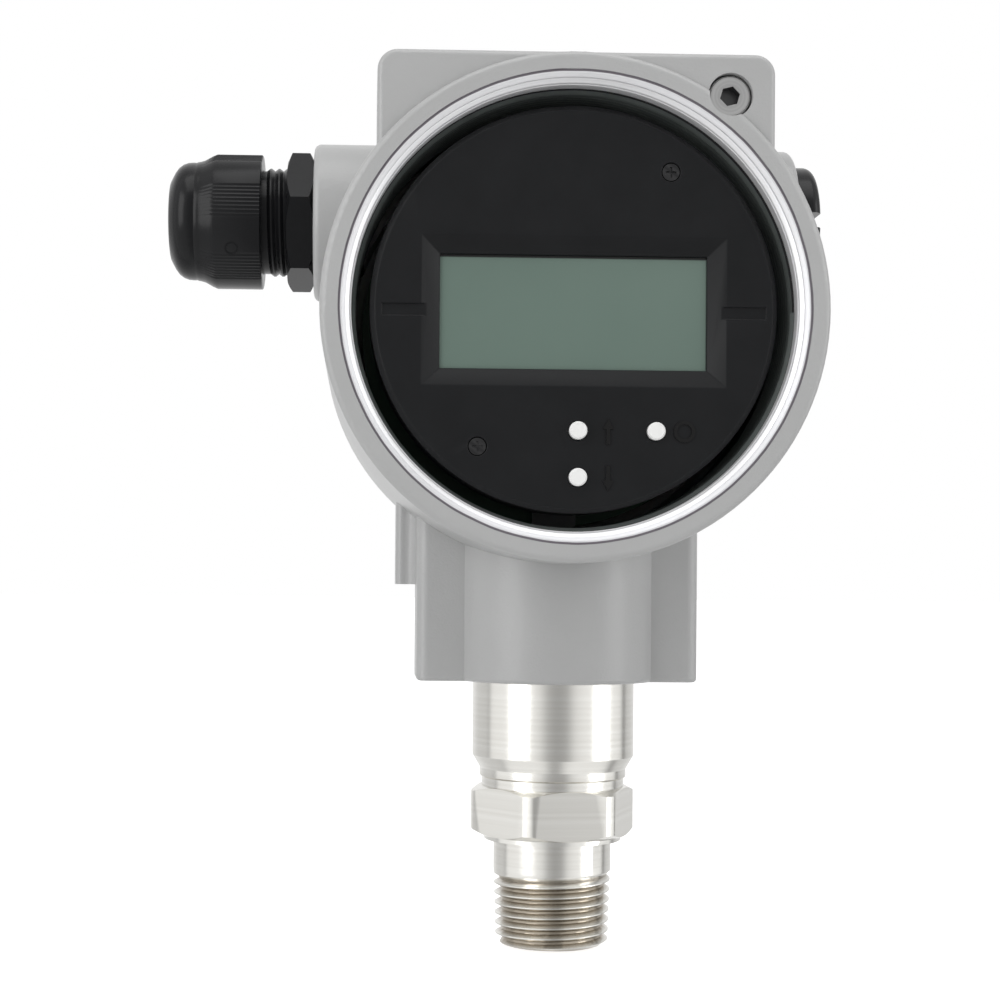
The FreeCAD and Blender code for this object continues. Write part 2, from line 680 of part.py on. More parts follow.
def front_bore(body):
    front = -size.drum_front
    lip = front + size.lip_step
    thread_end = front + size.cover_thread_depth
    profile = new_sketch(body, "YZ")
    outline(profile, [
        (front - size.cut_over, 0),
        (front - size.cut_over, size.lip_radius),
        (lip, size.lip_radius),
        (lip, size.mouth_radius + size.mouth_chamfer),
        (lip + size.mouth_chamfer, size.mouth_radius),
        (front + size.mouth_depth, size.mouth_radius),
        (front + size.mouth_depth + size.mouth_radius - size.cover_thread_radius,
         size.cover_thread_radius),
        (thread_end, size.cover_thread_radius),
        (thread_end, size.cavity_radius),
        (cavity_back, size.cavity_radius),
        (cavity_back, 0),
    ])
    turned(body, "Groove", profile, "H_Axis")


def spot_faces(body):
    # keep the drum clear of the gland's hexagon and the plug's head
    hexagon = size.gland_flats / (2 * cosine(30))
    for side, reach, inside in ((-1, size.conduit_left_reach, hexagon),
                                (1, size.conduit_right_reach, size.plug_head_radius)):
        face = new_sketch(body, "YZ", ahead=reach * side)
        circle(face, inside + size.spot_face_margin, y=size.conduit_height)
        pocket(body, face, size.drum_radius, reverse=side > 0)


def entry_bores(body):
    left, right = size.conduit_left_reach, size.conduit_right_reach
    bore = new_sketch(body, "YZ", ahead=-left)
    circle(bore, size.conduit_bore_radius, y=size.conduit_height)
    pocket(body, bore, left + right, reverse=True)
    for level, inward in ((-left, True), (right, False)):
        recess = new_sketch(body, "YZ", ahead=level)
        circle(recess, size.seal_recess_radius, y=size.conduit_height)
        pocket(body, recess, size.seal_recess_depth, reverse=inward)


def neck_bores(body):
    seat = new_sketch(body, "XY", ahead=-neck_drop)
    circle(seat, size.tube_radius + size.tube_clearance)
    pocket(body, seat, size.tube_grip, reverse=True)
    passage = new_sketch(body, "XY", ahead=-neck_drop)
    circle(passage, size.lead_passage_radius)
    pocket(body, passage, neck_drop - size.neck_root, reverse=True)
    behind = size.neck_radius + size.cut_over
    set_screw = new_sketch(body, "XZ", ahead=-behind)
    circle(set_screw, size.set_screw_radius, y=set_screw_height - size.drum_height)
    pocket(body, set_screw, behind - size.tube_radius + size.cut_over, reverse=True)


def lock_screw_bore(body):
    place_of_lock = {"x": size.lock_across, "y": size.lock_up}
    counterbore = new_sketch(body, "XZ", ahead=size.drum_front + size.cut_over)
    circle(counterbore, size.lock_head_radius + size.lock_head_play, **place_of_lock)
    pocket(body, counterbore, size.drum_front + size.cut_over - lock_seat)
    tapped = new_sketch(body, "XZ", ahead=lock_seat)
    circle(tapped, size.lock_shank_radius + size.thread_play, **place_of_lock)
    pocket(body, tapped, size.lock_shank_length + size.cut_over)


def board_posts(body):
    posts = new_sketch(body, "XZ", ahead=-cavity_back)
    holes = new_sketch(body, "XZ", ahead=post_front)
    for x, y in screw_places:
        circle(posts, size.post_radius, x, y)
        circle(holes, size.stud_radius + size.thread_play, x, y)
    pad(body, posts, size.post_height)
    pocket(body, holes, size.stud_length)


def earth_bore(body):
    face = size.earth_boss_front + size.earth_boss_depth
    tapped = new_sketch(body, "XZ", ahead=-face)
    circle(tapped, size.earth_hole_radius, earth_place[0], earth_place[1])
    pocket(body, tapped, size.earth_shank_length + size.cut_over, reverse=True)


def housing():
    body = new_piece("housing", head)
    cable_entry_bosses(body)
    drum_and_shoulders(body)
    earth_boss(body)
    neck(body)
    spot_faces(body)
    front_bore(body)
    entry_bores(body)
    neck_bores(body)
    lock_screw_bore(body)
    board_posts(body)
    earth_bore(body)


# ---- lock screw, set screw and earth terminal ----

def lock_screw():
    body = new_piece("lock_screw", (size.lock_across, 0, size.drum_height + size.lock_up))
    edge = size.lock_head_edge
    profile = new_sketch(body, "YZ")
    outline(profile, [
        (-lock_head_front, 0),
        (-lock_head_front, size.lock_head_radius - edge),
        (-lock_head_front + edge, size.lock_head_radius),
        (-lock_seat, size.lock_head_radius),
        (-lock_seat, size.lock_shank_radius),
        (-lock_seat + size.lock_shank_length, size.lock_shank_radius),
        (-lock_seat + size.lock_shank_length, 0),
    ])
    turned(body, "Revolution", profile, "H_Axis")
    socket = new_sketch(body, "XZ", ahead=lock_head_front)
    polygon(socket, size.lock_socket_flats, size.lock_turn)
    pocket(body, socket, size.lock_socket_depth)


def neck_set_screw():
    body = new_piece("neck_set_screw", (0, 0, set_screw_height))
    tip = size.tube_radius - size.lock_groove_depth + size.set_screw_gap
    outer_end = size.neck_radius - size.set_screw_sunk
    radius = size.set_screw_radius - size.thread_play
    profile = new_sketch(body, "YZ")
    outline(profile, [
        (tip, 0),
        (tip, radius / 2),
        (tip + radius / 2, radius),
        (outer_end, radius),
        (outer_end, 0),
    ])
    turned(body, "Revolution", profile, "H_Axis")
    socket = new_sketch(body, "XZ", ahead=-outer_end)
    polygon(socket, size.set_screw_socket_flats, 0)
    pocket(body, socket, size.set_screw_socket_depth, reverse=True)


def earth_terminal():
    face = size.earth_boss_front + size.earth_boss_depth
    at = (earth_place[0], face, size.drum_height + earth_place[1])
    clamp = new_piece("earth_clamp", at)
    plate = new_sketch(clamp, "XZ")
    half = size.earth_clamp_side / 2
    rectangle(plate, -half, half, -half, half)
    circle(plate, size.earth_hole_radius + size.earth_clamp_play)
    pad(clamp, plate, size.earth_clamp_thickness, reverse=True)

    body = new_piece("earth_screw", at)
    seat = size.earth_clamp_thickness
    end = seat + size.earth_head_height
    shank = size.earth_hole_radius - size.thread_play
    profile = new_sketch(body, "YZ")
    outline(profile, [
        (-size.earth_shank_length, 0),
        (-size.earth_shank_length, shank),
        (seat, shank),
        (seat, size.earth_head_radius),
        (end - size.earth_head_edge, size.earth_head_radius),
        (end, size.earth_head_radius - size.earth_head_edge),
        (end, 0),
    ])
    turned(body, "Revolution", profile, "H_Axis")
    slot = new_sketch(body, "XZ", ahead=-end)
    half = size.earth_slot_width / 2
    reach = size.earth_head_radius + size.cut_over
    rectangle(slot, -reach, reach, -half, half)
    pocket(body, slot, size.earth_slot_depth, reverse=True)


# ---- display ----

def display_bezel():
    body = new_piece("display_bezel", head)
    back = size.bezel_depth - bezel_front
    inside = size.bezel_radius - size.bezel_skirt
    profile = new_sketch(body, "YZ")
    outline(profile, [
        (-bezel_front, 0),
        (-bezel_front, size.bezel_radius - size.bezel_chamfer),
        (-bezel_front + size.bezel_chamfer, size.bezel_radius),
        (back, size.bezel_radius),
        (back, inside),
        (-bezel_back, inside),
        (-bezel_back, 0),
    ])
    turned(body, "Revolution", profile, "H_Axis")
    bosses = new_sketch(body, "XZ", ahead=bezel_back)
    for x, y in screw_places:
        circle(bosses, size.screw_boss_radius, x, y)
    pad(body, bosses, bezel_back - display_board_front, reverse=True)

    middle = -size.window_drop
    frame = new_sketch(body, "XZ", ahead=bezel_front)
    rectangle(frame, -size.frame_width / 2, size.frame_width / 2,
              middle - size.frame_height / 2, middle + size.frame_height / 2)
    window = new_sketch(body, "XZ", ahead=bezel_front - size.frame_depth)
    rectangle(window, -size.window_width / 2, size.window_width / 2,
              middle - size.window_height / 2, middle + size.window_height / 2)
    bevel = body.newObject("PartDesign::SubtractiveLoft", "SubtractiveLoft")
    bevel.Profile = frame
    bevel.Sections = [window]
    opening = new_sketch(body, "XZ", ahead=bezel_front - size.frame_depth)
    rectangle(opening, -size.window_width / 2, size.window_width / 2,
              middle - size.window_height / 2, middle + size.window_height / 2)
    pocket(body, opening, size.bezel_face - size.frame_depth)

    slots = new_sketch(body, "XZ", ahead=bezel_front)
    half = size.side_slot_height / 2
    inner = size.frame_width / 2 - size.cut_over
    outer = size.frame_width / 2 + size.side_slot_length
    rectangle(slots, inner, outer, middle - half, middle + half)
    rectangle(slots, -outer, -inner, middle - half, middle + half)
    pocket(body, slots, size.side_slot_depth)

    holes = new_sketch(body, "XZ", ahead=bezel_front)
    for x, y in button_places.values():
        circle(holes, size.button_radius + size.button_play, x, y)
    pocket(body, holes, size.bezel_face)
    recesses = new_sketch(body, "XZ", ahead=bezel_front)
    shanks = new_sketch(body, "XZ", ahead=screw_seat)
    for x, y in screw_places:
        circle(recesses, size.screw_head_radius + size.screw_play, x, y)
        circle(shanks, size.screw_radius + size.screw_play, x, y)
    pocket(body, recesses, bezel_front - screw_seat)
    pocket(body, shanks, screw_seat - display_board_front)


def display_cell():
    middle = -size.window_drop
    for label, border, front, thickness in (
        ("lcd_cell", size.cell_border, bezel_back, size.cell_thickness),
        ("lcd_backlight", size.backlight_border, cell_back, size.backlight_thickness),
    ):
        body = new_piece(label, head)
        plate = new_sketch(body, "XZ", ahead=front)
        half_width = size.window_width / 2 + border
        half_height = size.window_height / 2 + border
        rectangle(plate, -half_width, half_width, middle - half_height, middle + half_height)
        pad(body, plate, thickness, reverse=True)


def circuit_board(label, front, radius, hole_radius):
    body = new_piece(label, head)
    plate = new_sketch(body, "XZ", ahead=front)
    circle(plate, radius)
    for x, y in screw_places:
        circle(plate, hole_radius, x, y)
    pad(body, plate, size.board_thickness, reverse=True)


def tact_switches():
    body = new_piece("tact_switches", head)
    cases = new_sketch(body, "XZ", ahead=display_board_front)
    plungers = new_sketch(body, "XZ", ahead=switch_top)
    half = size.switch_side / 2
    for x, y in button_places.values():
        rectangle(cases, x - half, x + half, y - half, y + half)
        circle(plungers, size.switch_plunger_radius, x, y)
    pad(body, cases, switch_top - display_board_front)
    pad(body, plungers, size.switch_plunger_height)


def button(label, x, y):
    body = new_piece(label, (x, 0, size.drum_height + y))
    front = bezel_front + size.button_stand
    edge = size.button_edge
    profile = new_sketch(body, "YZ")
    outline(profile, [
        (-front, 0),
        (-front, size.button_radius - edge),
        (-front + edge, size.button_radius),
        (-collar_front, size.button_radius),
        (-collar_front, size.button_flange),
        (-button_back, size.button_flange),
        (-button_back, 0),
    ])
    turned(body, "Revolution", profile, "H_Axis")


def display_screws():
    body = new_piece("display_screws", head)
    heads = new_sketch(body, "XZ", ahead=screw_seat)
    shanks = new_sketch(body, "XZ", ahead=screw_seat)
    across = new_sketch(body, "XZ", ahead=screw_seat + size.screw_head_height)
    upright = new_sketch(body, "XZ", ahead=screw_seat + size.screw_head_height)
    arm, half = size.screw_cross_arm, size.screw_cross_width / 2
    for x, y in screw_places:
        circle(heads, size.screw_head_radius, x, y)
        circle(shanks, size.screw_radius, x, y)
        rectangle(across, x - arm, x + arm, y - half, y + half)
        rectangle(upright, x - half, x + half, y - arm, y + arm)
    pad(body, heads, size.screw_head_height)
    pad(body, shanks, size.screw_length, reverse=True)
    for cross in (across, upright):
        pocket(body, cross, size.screw_cross_depth)


def display_spacers():
    body = new_piece("display_spacers", head)
    bars = new_sketch(body, "XZ", ahead=main_board_front)
    studs = new_sketch(body, "XZ", ahead=main_board_front)
    holes = new_sketch(body, "XZ", ahead=display_board_back)
    for x, y in screw_places:
        polygon(bars, size.spacer_flats, 0, x=x, y=y)
        circle(studs, size.stud_radius, x, y)
        circle(holes, size.screw_radius + size.thread_play, x, y)
    pad(body, bars, display_board_back - main_board_front)
    pad(body, studs, size.stud_length, reverse=True)
    tip = screw_seat - size.screw_length
    pocket(body, holes, display_board_back - tip + size.cut_over)


def terminals():
    pitch = size.terminal_width / size.terminal_count
    ways = [pitch * (way - (int(size.terminal_count.value) - 1) / 2)
            for way in range(int(size.terminal_count.value))]
    front = main_board_front + size.terminal_depth
    middle = -size.terminal_drop
    block = new_piece("terminal_block", head)
    case = new_sketch(block, "XZ", ahead=main_board_front)
    rectangle(case, -size.terminal_width / 2, size.terminal_width / 2,
              middle - size.terminal_height / 2, middle + size.terminal_height / 2)
    pad(block, case, size.terminal_depth)
    wells = new_sketch(block, "XZ", ahead=front)
    entries = new_sketch(block, "XY", ahead=middle - size.terminal_height / 2)
    for x in ways:
        circle(wells, size.terminal_well_radius, x, middle)
        circle(entries, size.wire_entry_radius, x, -main_board_front - size.wire_entry_up)
    pocket(block, wells, size.terminal_screw_length + size.terminal_screw_sunk)
    pocket(block, entries, size.terminal_height / 2, reverse=True)

    screws = new_piece("terminal_screws", head)
    head_front = front - size.terminal_screw_sunk
    bars = new_sketch(screws, "XZ", ahead=head_front)
    slots = new_sketch(screws, "XZ", ahead=head_front)
    half = size.terminal_slot_width / 2
    for x in ways:
        circle(bars, size.terminal_screw_radius, x, middle)
        reach = size.terminal_screw_radius + size.cut_over
        rectangle(slots, x - reach, x + reach, middle - half, middle + half)
    pad(screws, bars, size.terminal_screw_length, reverse=True)
    pocket(screws, slots, size.terminal_slot_depth)

    socket = new_piece("ribbon_socket", head)
    case = new_sketch(socket, "XZ", ahead=main_board_front)
    rectangle(case, -size.socket_width / 2, size.socket_width / 2,
              -size.socket_drop, size.socket_height - size.socket_drop)
    pad(socket, case, size.socket_depth)


# ---- cable gland and blanking plug ----

def gland_body():
    body = new_piece("gland_body", entry)
    root_end = size.conduit_left_reach - size.gland_thread_length
    face = size.conduit_left_reach
    hex_end = face + size.gland_hex_height
    seat = gland_neck_end - size.gland_seat_depth
    flat = size.gland_flats / 2
    corner = flat / cosine(30)
    lead = size.gland_hex_chamfer
    profile = new_sketch(body, "XZ")
    outline(profile, [
        (-root_end, size.gland_bore_radius),
        (-root_end, size.gland_thread_radius - lead),
        (-root_end - lead, size.gland_thread_radius),
        (-face, size.gland_thread_radius),
        (-face, flat),
        (-face - lead, corner),
        (-hex_end + lead, corner),
        (-hex_end, flat),
        (-hex_end, size.gland_neck_radius),
        (-gland_neck_end, size.gland_neck_radius),
        (-gland_neck_end, size.gland_seat_radius),
        (-seat, size.gland_seat_radius),
        (-seat, size.gland_bore_radius),
    ])
    turned(body, "Revolution", profile, "H_Axis")
    flats = new_sketch(body, "YZ", ahead=-face)
    circle(flats, corner + size.cut_over)
    polygon(flats, size.gland_flats, size.gland_hex_turn)
    pocket(body, flats, size.gland_hex_height)
    slot = new_sketch(body, "YZ", ahead=-gland_neck_end)
    half = size.finger_slot / 2
    rectangle(slot, -half, half, size.gland_seat_radius - size.cut_over,
              size.gland_neck_radius + size.cut_over)
    cut = pocket(body, slot, size.finger_length, reverse=True)
    around(body, cut, slot, "N_Axis", size.finger_count)


def gland_seal():
    body = new_piece("gland_seal", entry)
    inner = gland_neck_end - size.gland_seat_depth
    outer = inner + size.seal_length
    radius = size.gland_seat_radius - size.seal_play
    profile = new_sketch(body, "XZ")
    outline(profile, [
        (-inner, size.seal_bore_radius),
        (-inner, radius),
        (-gland_neck_end, radius),
        (-outer, radius - size.seal_taper),
        (-outer, size.seal_bore_radius),
    ])
    turned(body, "Revolution", profile, "H_Axis")


def gland_cap_nut():
    body = new_piece("gland_cap_nut", entry)
    bore = size.gland_neck_radius + size.cap_play
    cone_start = gland_neck_end + size.cap_cone_gap
    profile = new_sketch(body, "XZ")
    outline(profile, [
        (-cap_start, bore),
        (-cap_start, size.cap_radius - size.cap_edge),
        (-cap_start - size.cap_edge, size.cap_radius),
        (-cap_grip_end, size.cap_radius),
        (-cap_grip_end - size.cap_shoulder, size.cap_neck_radius),
        (-cap_end, size.cap_neck_radius),
        (-cap_end, size.cap_mouth_radius),
        (-cap_end + size.cap_wall, size.cap_mouth_radius),
        (-cone_start, bore),
    ])
    turned(body, "Revolution", profile, "H_Axis")
    round_edges(body, size.cap_nose_rounding,
                lambda edge: is_rim(edge, size.cap_neck_radius, "x", -cap_end))
    slot = new_sketch(body, "YZ", ahead=-cap_start)
    half = size.rib_slot_width / 2
    rectangle(slot, -half, half, size.cap_radius - size.rib_slot_depth,
              size.cap_radius + size.cut_over)
    cut = pocket(body, slot, size.cap_grip_length - size.rib_end)
    ribs = body.newObject("PartDesign::MultiTransform", "MultiTransform")
    ribs.Originals = [cut]
    steps = []
    for count, angle in ((size.rib_slots, size.rib_pitch * (size.rib_slots - 1)),
                         (size.rib_groups, 360)):
        step = body.newObject("PartDesign::PolarPattern", "PolarPattern")
        step.Axis = (slot, ["N_Axis"])
        bind(step, "Angle", angle)
        bind(step, "Occurrences", count)
        steps.append(step)
    ribs.Transformations = steps
    body.Tip = ribs


def blanking_plug():
    body = new_piece("blanking_plug", entry)
    face = size.conduit_right_reach
    end = face + size.plug_head_height
    inner_end = face - size.gland_thread_length
    lead = size.gland_hex_chamfer
    profile = new_sketch(body, "XZ")
    outline(profile, [
        (inner_end, size.plug_bore_radius),
        (inner_end, size.gland_thread_radius - lead),
        (inner_end + lead, size.gland_thread_radius),
        (face, size.gland_thread_radius),
        (face, size.plug_head_radius),
        (end, size.plug_head_radius),
        (end, 0),
        (face, 0),
        (face, size.plug_bore_radius),
    ])
    turned(body, "Revolution", profile, "H_Axis")
    round_edges(body, size.plug_rounding, lambda edge: is_rim(edge, size.plug_head_radius, "x", end))
    slot = new_sketch(body, "YZ", ahead=end)
    half = size.plug_slot_width / 2
    reach = size.plug_head_radius + size.cut_over
    rectangle(slot, -reach, reach, -half, half)
    pocket(body, slot, size.plug_slot_depth)


def seals():
    entry_inner = size.gland_thread_radius + size.thread_play
    entry_outer = entry_inner + size.entry_seal_section
    depth = size.entry_seal_section / 2
    height = size.drum_height + size.conduit_height
    ring_seal("gland_o_ring", entry_inner, entry_outer,
              (depth - size.conduit_left_reach, 0, height), "X")
    ring_seal("plug_o_ring", entry_inner, entry_outer,
              (size.conduit_right_reach - depth, 0, height), "X")
    groove_floor = size.tube_radius - size.neck_seal_groove_depth
    ring_seal("neck_o_ring", groove_floor, size.tube_radius, (0, 0, neck_seal_height), "Z")
    outer = size.chamber_radius - size.sensor_clearance
    ring_seal("sensor_o_ring", outer - size.sensor_seal_section, outer,
              (0, 0, size.chamber_floor + size.sensor_seal_section / 2), "Z")


process_connection()
sensor_tube()
pressure_sensor()
housing()
lock_screw()
neck_set_screw()
earth_terminal()
display_bezel()
display_cell()
circuit_board("display_board", display_board_front, size.display_board_radius,
              size.screw_radius + size.screw_play)
circuit_board("main_board", main_board_front, size.main_board_radius,
              size.stud_radius + size.screw_play)
tact_switches()
for name, (x, y) in button_places.items():
    button(name, x, y)
display_screws()
display_spacers()
terminals()
gland_body()
gland_seal()
gland_cap_nut()
blanking_plug()
seals()
doc.recompute()

for item in doc.Objects:
    if "Invalid" in item.State or "Error" in item.State:
        raise RuntimeError(f"{item.Name} of {item.getParentGeoFeatureGroup()} failed: {item.State}")
for piece in pieces:
    if piece.Shape.isNull() or not piece.Shape.isValid():
        raise RuntimeError(f"{piece.Label} has no valid shape")

os.makedirs("parts", exist_ok=True)
for piece in pieces:
    piece.Shape.exportStep(f"parts/{piece.Label}.step")
    print(f"{piece.Label}: {len(piece.Shape.Solids)} solids, {piece.Shape.Volume:.0f} mm3")
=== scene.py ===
import math

import bmesh
import bpy
from mathutils import Matrix, Vector


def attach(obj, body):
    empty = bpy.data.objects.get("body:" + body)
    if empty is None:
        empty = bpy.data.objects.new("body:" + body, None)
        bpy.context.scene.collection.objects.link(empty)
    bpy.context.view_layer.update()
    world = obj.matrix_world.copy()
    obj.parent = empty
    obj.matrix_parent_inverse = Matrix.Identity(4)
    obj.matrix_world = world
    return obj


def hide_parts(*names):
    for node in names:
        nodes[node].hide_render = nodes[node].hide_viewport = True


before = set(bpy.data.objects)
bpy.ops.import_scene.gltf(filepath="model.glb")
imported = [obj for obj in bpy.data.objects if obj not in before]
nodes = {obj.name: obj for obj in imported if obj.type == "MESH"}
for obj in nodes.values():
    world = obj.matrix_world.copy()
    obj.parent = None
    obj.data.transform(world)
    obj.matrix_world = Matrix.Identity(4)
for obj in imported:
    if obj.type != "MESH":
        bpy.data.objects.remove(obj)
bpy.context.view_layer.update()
drumAxis = Vector((0, 0, 0.1115))  # middle of the display drum, which points along Y
conduitAxis = Vector((0, 0, 0.131))  # cable entries, along X
print("frame loaded:", len(nodes), "nodes")


# camera, floor and light

cameraSetup = {
    "place": (-0.0346, -0.3491, 0.0663),
    "turn": 1.94,  # degrees to the right
    "tilt": 0.92,  # degrees up
    "roll": 0.49,  # degrees
    "sensor": 36,
    "lens": 68.7,
    "shift": (0.07, 0.0472),
    "nearest": 0.01,
}


def makeCamera(setup):
    data = bpy.data.cameras.new("camera")
    data.sensor_width = setup["sensor"]
    data.lens = setup["lens"]
    data.shift_x, data.shift_y = setup["shift"]
    data.clip_start = setup["nearest"]
    camera = bpy.data.objects.new("camera", data)
    turn = Matrix.Rotation(-math.radians(setup["turn"]), 4, "Z")
    tilt = Matrix.Rotation(math.radians(90 + setup["tilt"]), 4, "X")
    roll = Matrix.Rotation(math.radians(setup["roll"]), 4, "Z")
    camera.matrix_world = Matrix.Translation(setup["place"]) @ turn @ tilt @ roll
    bpy.context.scene.collection.objects.link(camera)
    bpy.context.scene.camera = camera


studioSetup = {
    "floorLevel": -0.0006,
    "floorSize": 6,
    "floorColour": (0.86, 0.86, 0.86, 1),
    "floorGlow": 0.8,
    "worldColour": (1, 1, 1, 1),
    "worldLight": 0.42,
    "walls": [
        # degrees to the right of the front, brightness
        (-180, 1), (-165, 0.95), (-140, 0.72), (-113, 0.68), (-109, 0.3), (-104, 1), (-42, 1), (-25, 0.9),
        (-12, 0.5), (0, 0.4), (14, 0.46), (26, 0.86), (40, 1), (98, 1), (108, 0.9), (112, 0.2), (117, 0.25),
        (122, 0.68), (145, 0.75), (165, 0.95), (180, 1),
    ],
    "lamps": [
        # name, place, aims at, width, height, watts
        ("leftBox", (-0.75, -0.55, 0.35), (0, 0, 0.09), 0.5, 0.9, 3.4),
        ("rightBox", (0.85, -0.35, 0.25), (0, 0, 0.09), 0.4, 0.9, 2.4),
        ("topBox", (0.05, -0.25, 0.95), (0, 0, 0.1), 0.9, 0.6, 2.8),
    ],
}


def putNode(tree, kind, at, settings=None, values=None):
    node = tree.nodes.new(kind)
    node.location = at
    for name, value in (settings or {}).items():
        setattr(node, name, value)
    for name, value in (values or {}).items():
        node.inputs[name].default_value = value
    return node


def putWalls(tree, walls):
    # how bright the studio's walls are, by compass angle from the front, for shiny surfaces to show
    place = putNode(tree, "ShaderNodeTexCoord", (-1200, 0))
    apart = putNode(tree, "ShaderNodeSeparateXYZ", (-1000, 0))
    front = putNode(tree, "ShaderNodeMath", (-800, -100), {"operation": "MULTIPLY"}, {1: -1})
    angle = putNode(tree, "ShaderNodeMath", (-600, 0), {"operation": "ARCTAN2"})
    share = putNode(tree, "ShaderNodeMapRange", (-400, 0), None, {"From Min": -math.pi, "From Max": math.pi})
    ramp = putNode(tree, "ShaderNodeValToRGB", (-200, 0))
    stops = ramp.color_ramp.elements
    while len(stops) < len(walls):
        stops.new(0.5)
    for stop, (degrees, level) in zip(stops, walls):
        stop.position = (degrees + 180) / 360
        stop.color = (level, level, level, 1)
    tree.links.new(place.outputs["Generated"], apart.inputs[0])
    tree.links.new(apart.outputs["Y"], front.inputs[0])
    tree.links.new(apart.outputs["X"], angle.inputs[0])
    tree.links.new(front.outputs[0], angle.inputs[1])
    tree.links.new(angle.outputs[0], share.inputs["Value"])
    tree.links.new(share.outputs[0], ramp.inputs["Fac"])
    return ramp.outputs["Color"]


def mirrorRays(tree, path, at):
    # 1 for the rays that metal and glass send out
    either = putNode(tree, "ShaderNodeMath", at, {"operation": "MAXIMUM"})
    tree.links.new(path.outputs["Is Glossy Ray"], either.inputs[0])
    tree.links.new(path.outputs["Is Transmission Ray"], either.inputs[1])
    return either.outputs[0]


def makeWorld(setup):
    world = bpy.data.worlds.new("studio")
    bpy.context.scene.world = world
    world.use_nodes = True
    tree = world.node_tree
    tree.nodes.clear()
    path = putNode(tree, "ShaderNodeLightPath", (-600, 400))
    walls = putWalls(tree, setup["walls"])
    strength = putNode(tree, "ShaderNodeMix", (0, 300), {"data_type": "FLOAT"}, {"A": setup["worldLight"]})
    plain = putNode(tree, "ShaderNodeMix", (200, 300), {"data_type": "FLOAT"}, {"B": 1})
    background = putNode(tree, "ShaderNodeBackground", (400, 0), None, {"Color": setup["worldColour"]})
    out = putNode(tree, "ShaderNodeOutputWorld", (600, 0))
    tree.links.new(mirrorRays(tree, path, (-400, 400)), strength.inputs["Factor"])
    tree.links.new(walls, strength.inputs["B"])
    tree.links.new(path.outputs["Is Camera Ray"], plain.inputs["Factor"])
    tree.links.new(strength.outputs[0], plain.inputs["A"])
    tree.links.new(plain.outputs[0], background.inputs["Strength"])
    tree.links.new(background.outputs[0], out.inputs[0])


def makeLamps(lamps):
    for name, place, aim, width, height, watts in lamps:
        data = bpy.data.lights.new(name, "AREA")
        data.shape = "RECTANGLE"
        data.size, data.size_y = width, height
        data.energy = watts
        lamp = bpy.data.objects.new(name, data)
        lamp.location = place
        lamp.rotation_euler = (Vector(aim) - Vector(place)).to_track_quat("-Z", "Y").to_euler()
        bpy.context.scene.collection.objects.link(lamp)


def makeFloorPaper(setup):
    # matt paper that glows for the camera alone and lets metal see past it to the walls
    material = bpy.data.materials.new("floorPaper")
    material.use_nodes = True
    tree = material.node_tree
    tree.nodes.clear()
    path = putNode(tree, "ShaderNodeLightPath", (-800, 200))
    glow = putNode(tree, "ShaderNodeEmission", (-400, 200), None, {"Strength": setup["floorGlow"]})
    none = putNode(tree, "ShaderNodeEmission", (-400, 50), None, {"Strength": 0})
    which = putNode(tree, "ShaderNodeMixShader", (-200, 150))
    paper = putNode(tree, "ShaderNodeBsdfDiffuse", (-200, -50), None, {"Color": setup["floorColour"]})
    both = putNode(tree, "ShaderNodeAddShader", (0, 0))
    clear = putNode(tree, "ShaderNodeBsdfTransparent", (0, -150))
    floorOrWall = putNode(tree, "ShaderNodeMixShader", (200, 0))
    out = putNode(tree, "ShaderNodeOutputMaterial", (400, 0))
    tree.links.new(path.outputs["Is Camera Ray"], which.inputs[0])
    tree.links.new(none.outputs[0], which.inputs[1])
    tree.links.new(glow.outputs[0], which.inputs[2])
    tree.links.new(which.outputs[0], both.inputs[0])
    tree.links.new(paper.outputs[0], both.inputs[1])
    tree.links.new(mirrorRays(tree, path, (-600, 300)), floorOrWall.inputs[0])
    tree.links.new(both.outputs[0], floorOrWall.inputs[1])
    tree.links.new(clear.outputs[0], floorOrWall.inputs[2])
    tree.links.new(floorOrWall.outputs[0], out.inputs[0])
    return material


def makeFloor(setup):
    mesh = bpy.data.meshes.new("floor")
    build = bmesh.new()
    bmesh.ops.create_grid(build, x_segments=1, y_segments=1, size=setup["floorSize"])
    bmesh.ops.translate(build, verts=build.verts, vec=(0, 0, setup["floorLevel"]))
    build.to_mesh(mesh)
    build.free()
    mesh.materials.append(makeFloorPaper(setup))
    floor = bpy.data.objects.new("floor", mesh)
    bpy.context.scene.collection.objects.link(floor)


makeCamera(cameraSetup)
makeWorld(studioSetup)
makeLamps(studioSetup["lamps"])
makeFloor(studioSetup)
bpy.context.scene.view_settings.view_transform = "Standard"
print("camera, floor and lights made")


# shader node groups that several finishes share

def makeGroup(name, inputs, outputs):
    tree = bpy.data.node_groups.new(name, "ShaderNodeTree")
    for label, kind, value in inputs:
        socket = tree.interface.new_socket(name=label, in_out="INPUT", socket_type=kind)
        if value is not None:
            socket.default_value = value
    for label, kind in outputs:
        tree.interface.new_socket(name=label, in_out="OUTPUT", socket_type=kind)
    start = putNode(tree, "NodeGroupInput", (-900, 0))
    end = putNode(tree, "NodeGroupOutput", (900, 0))
    return tree, start, end


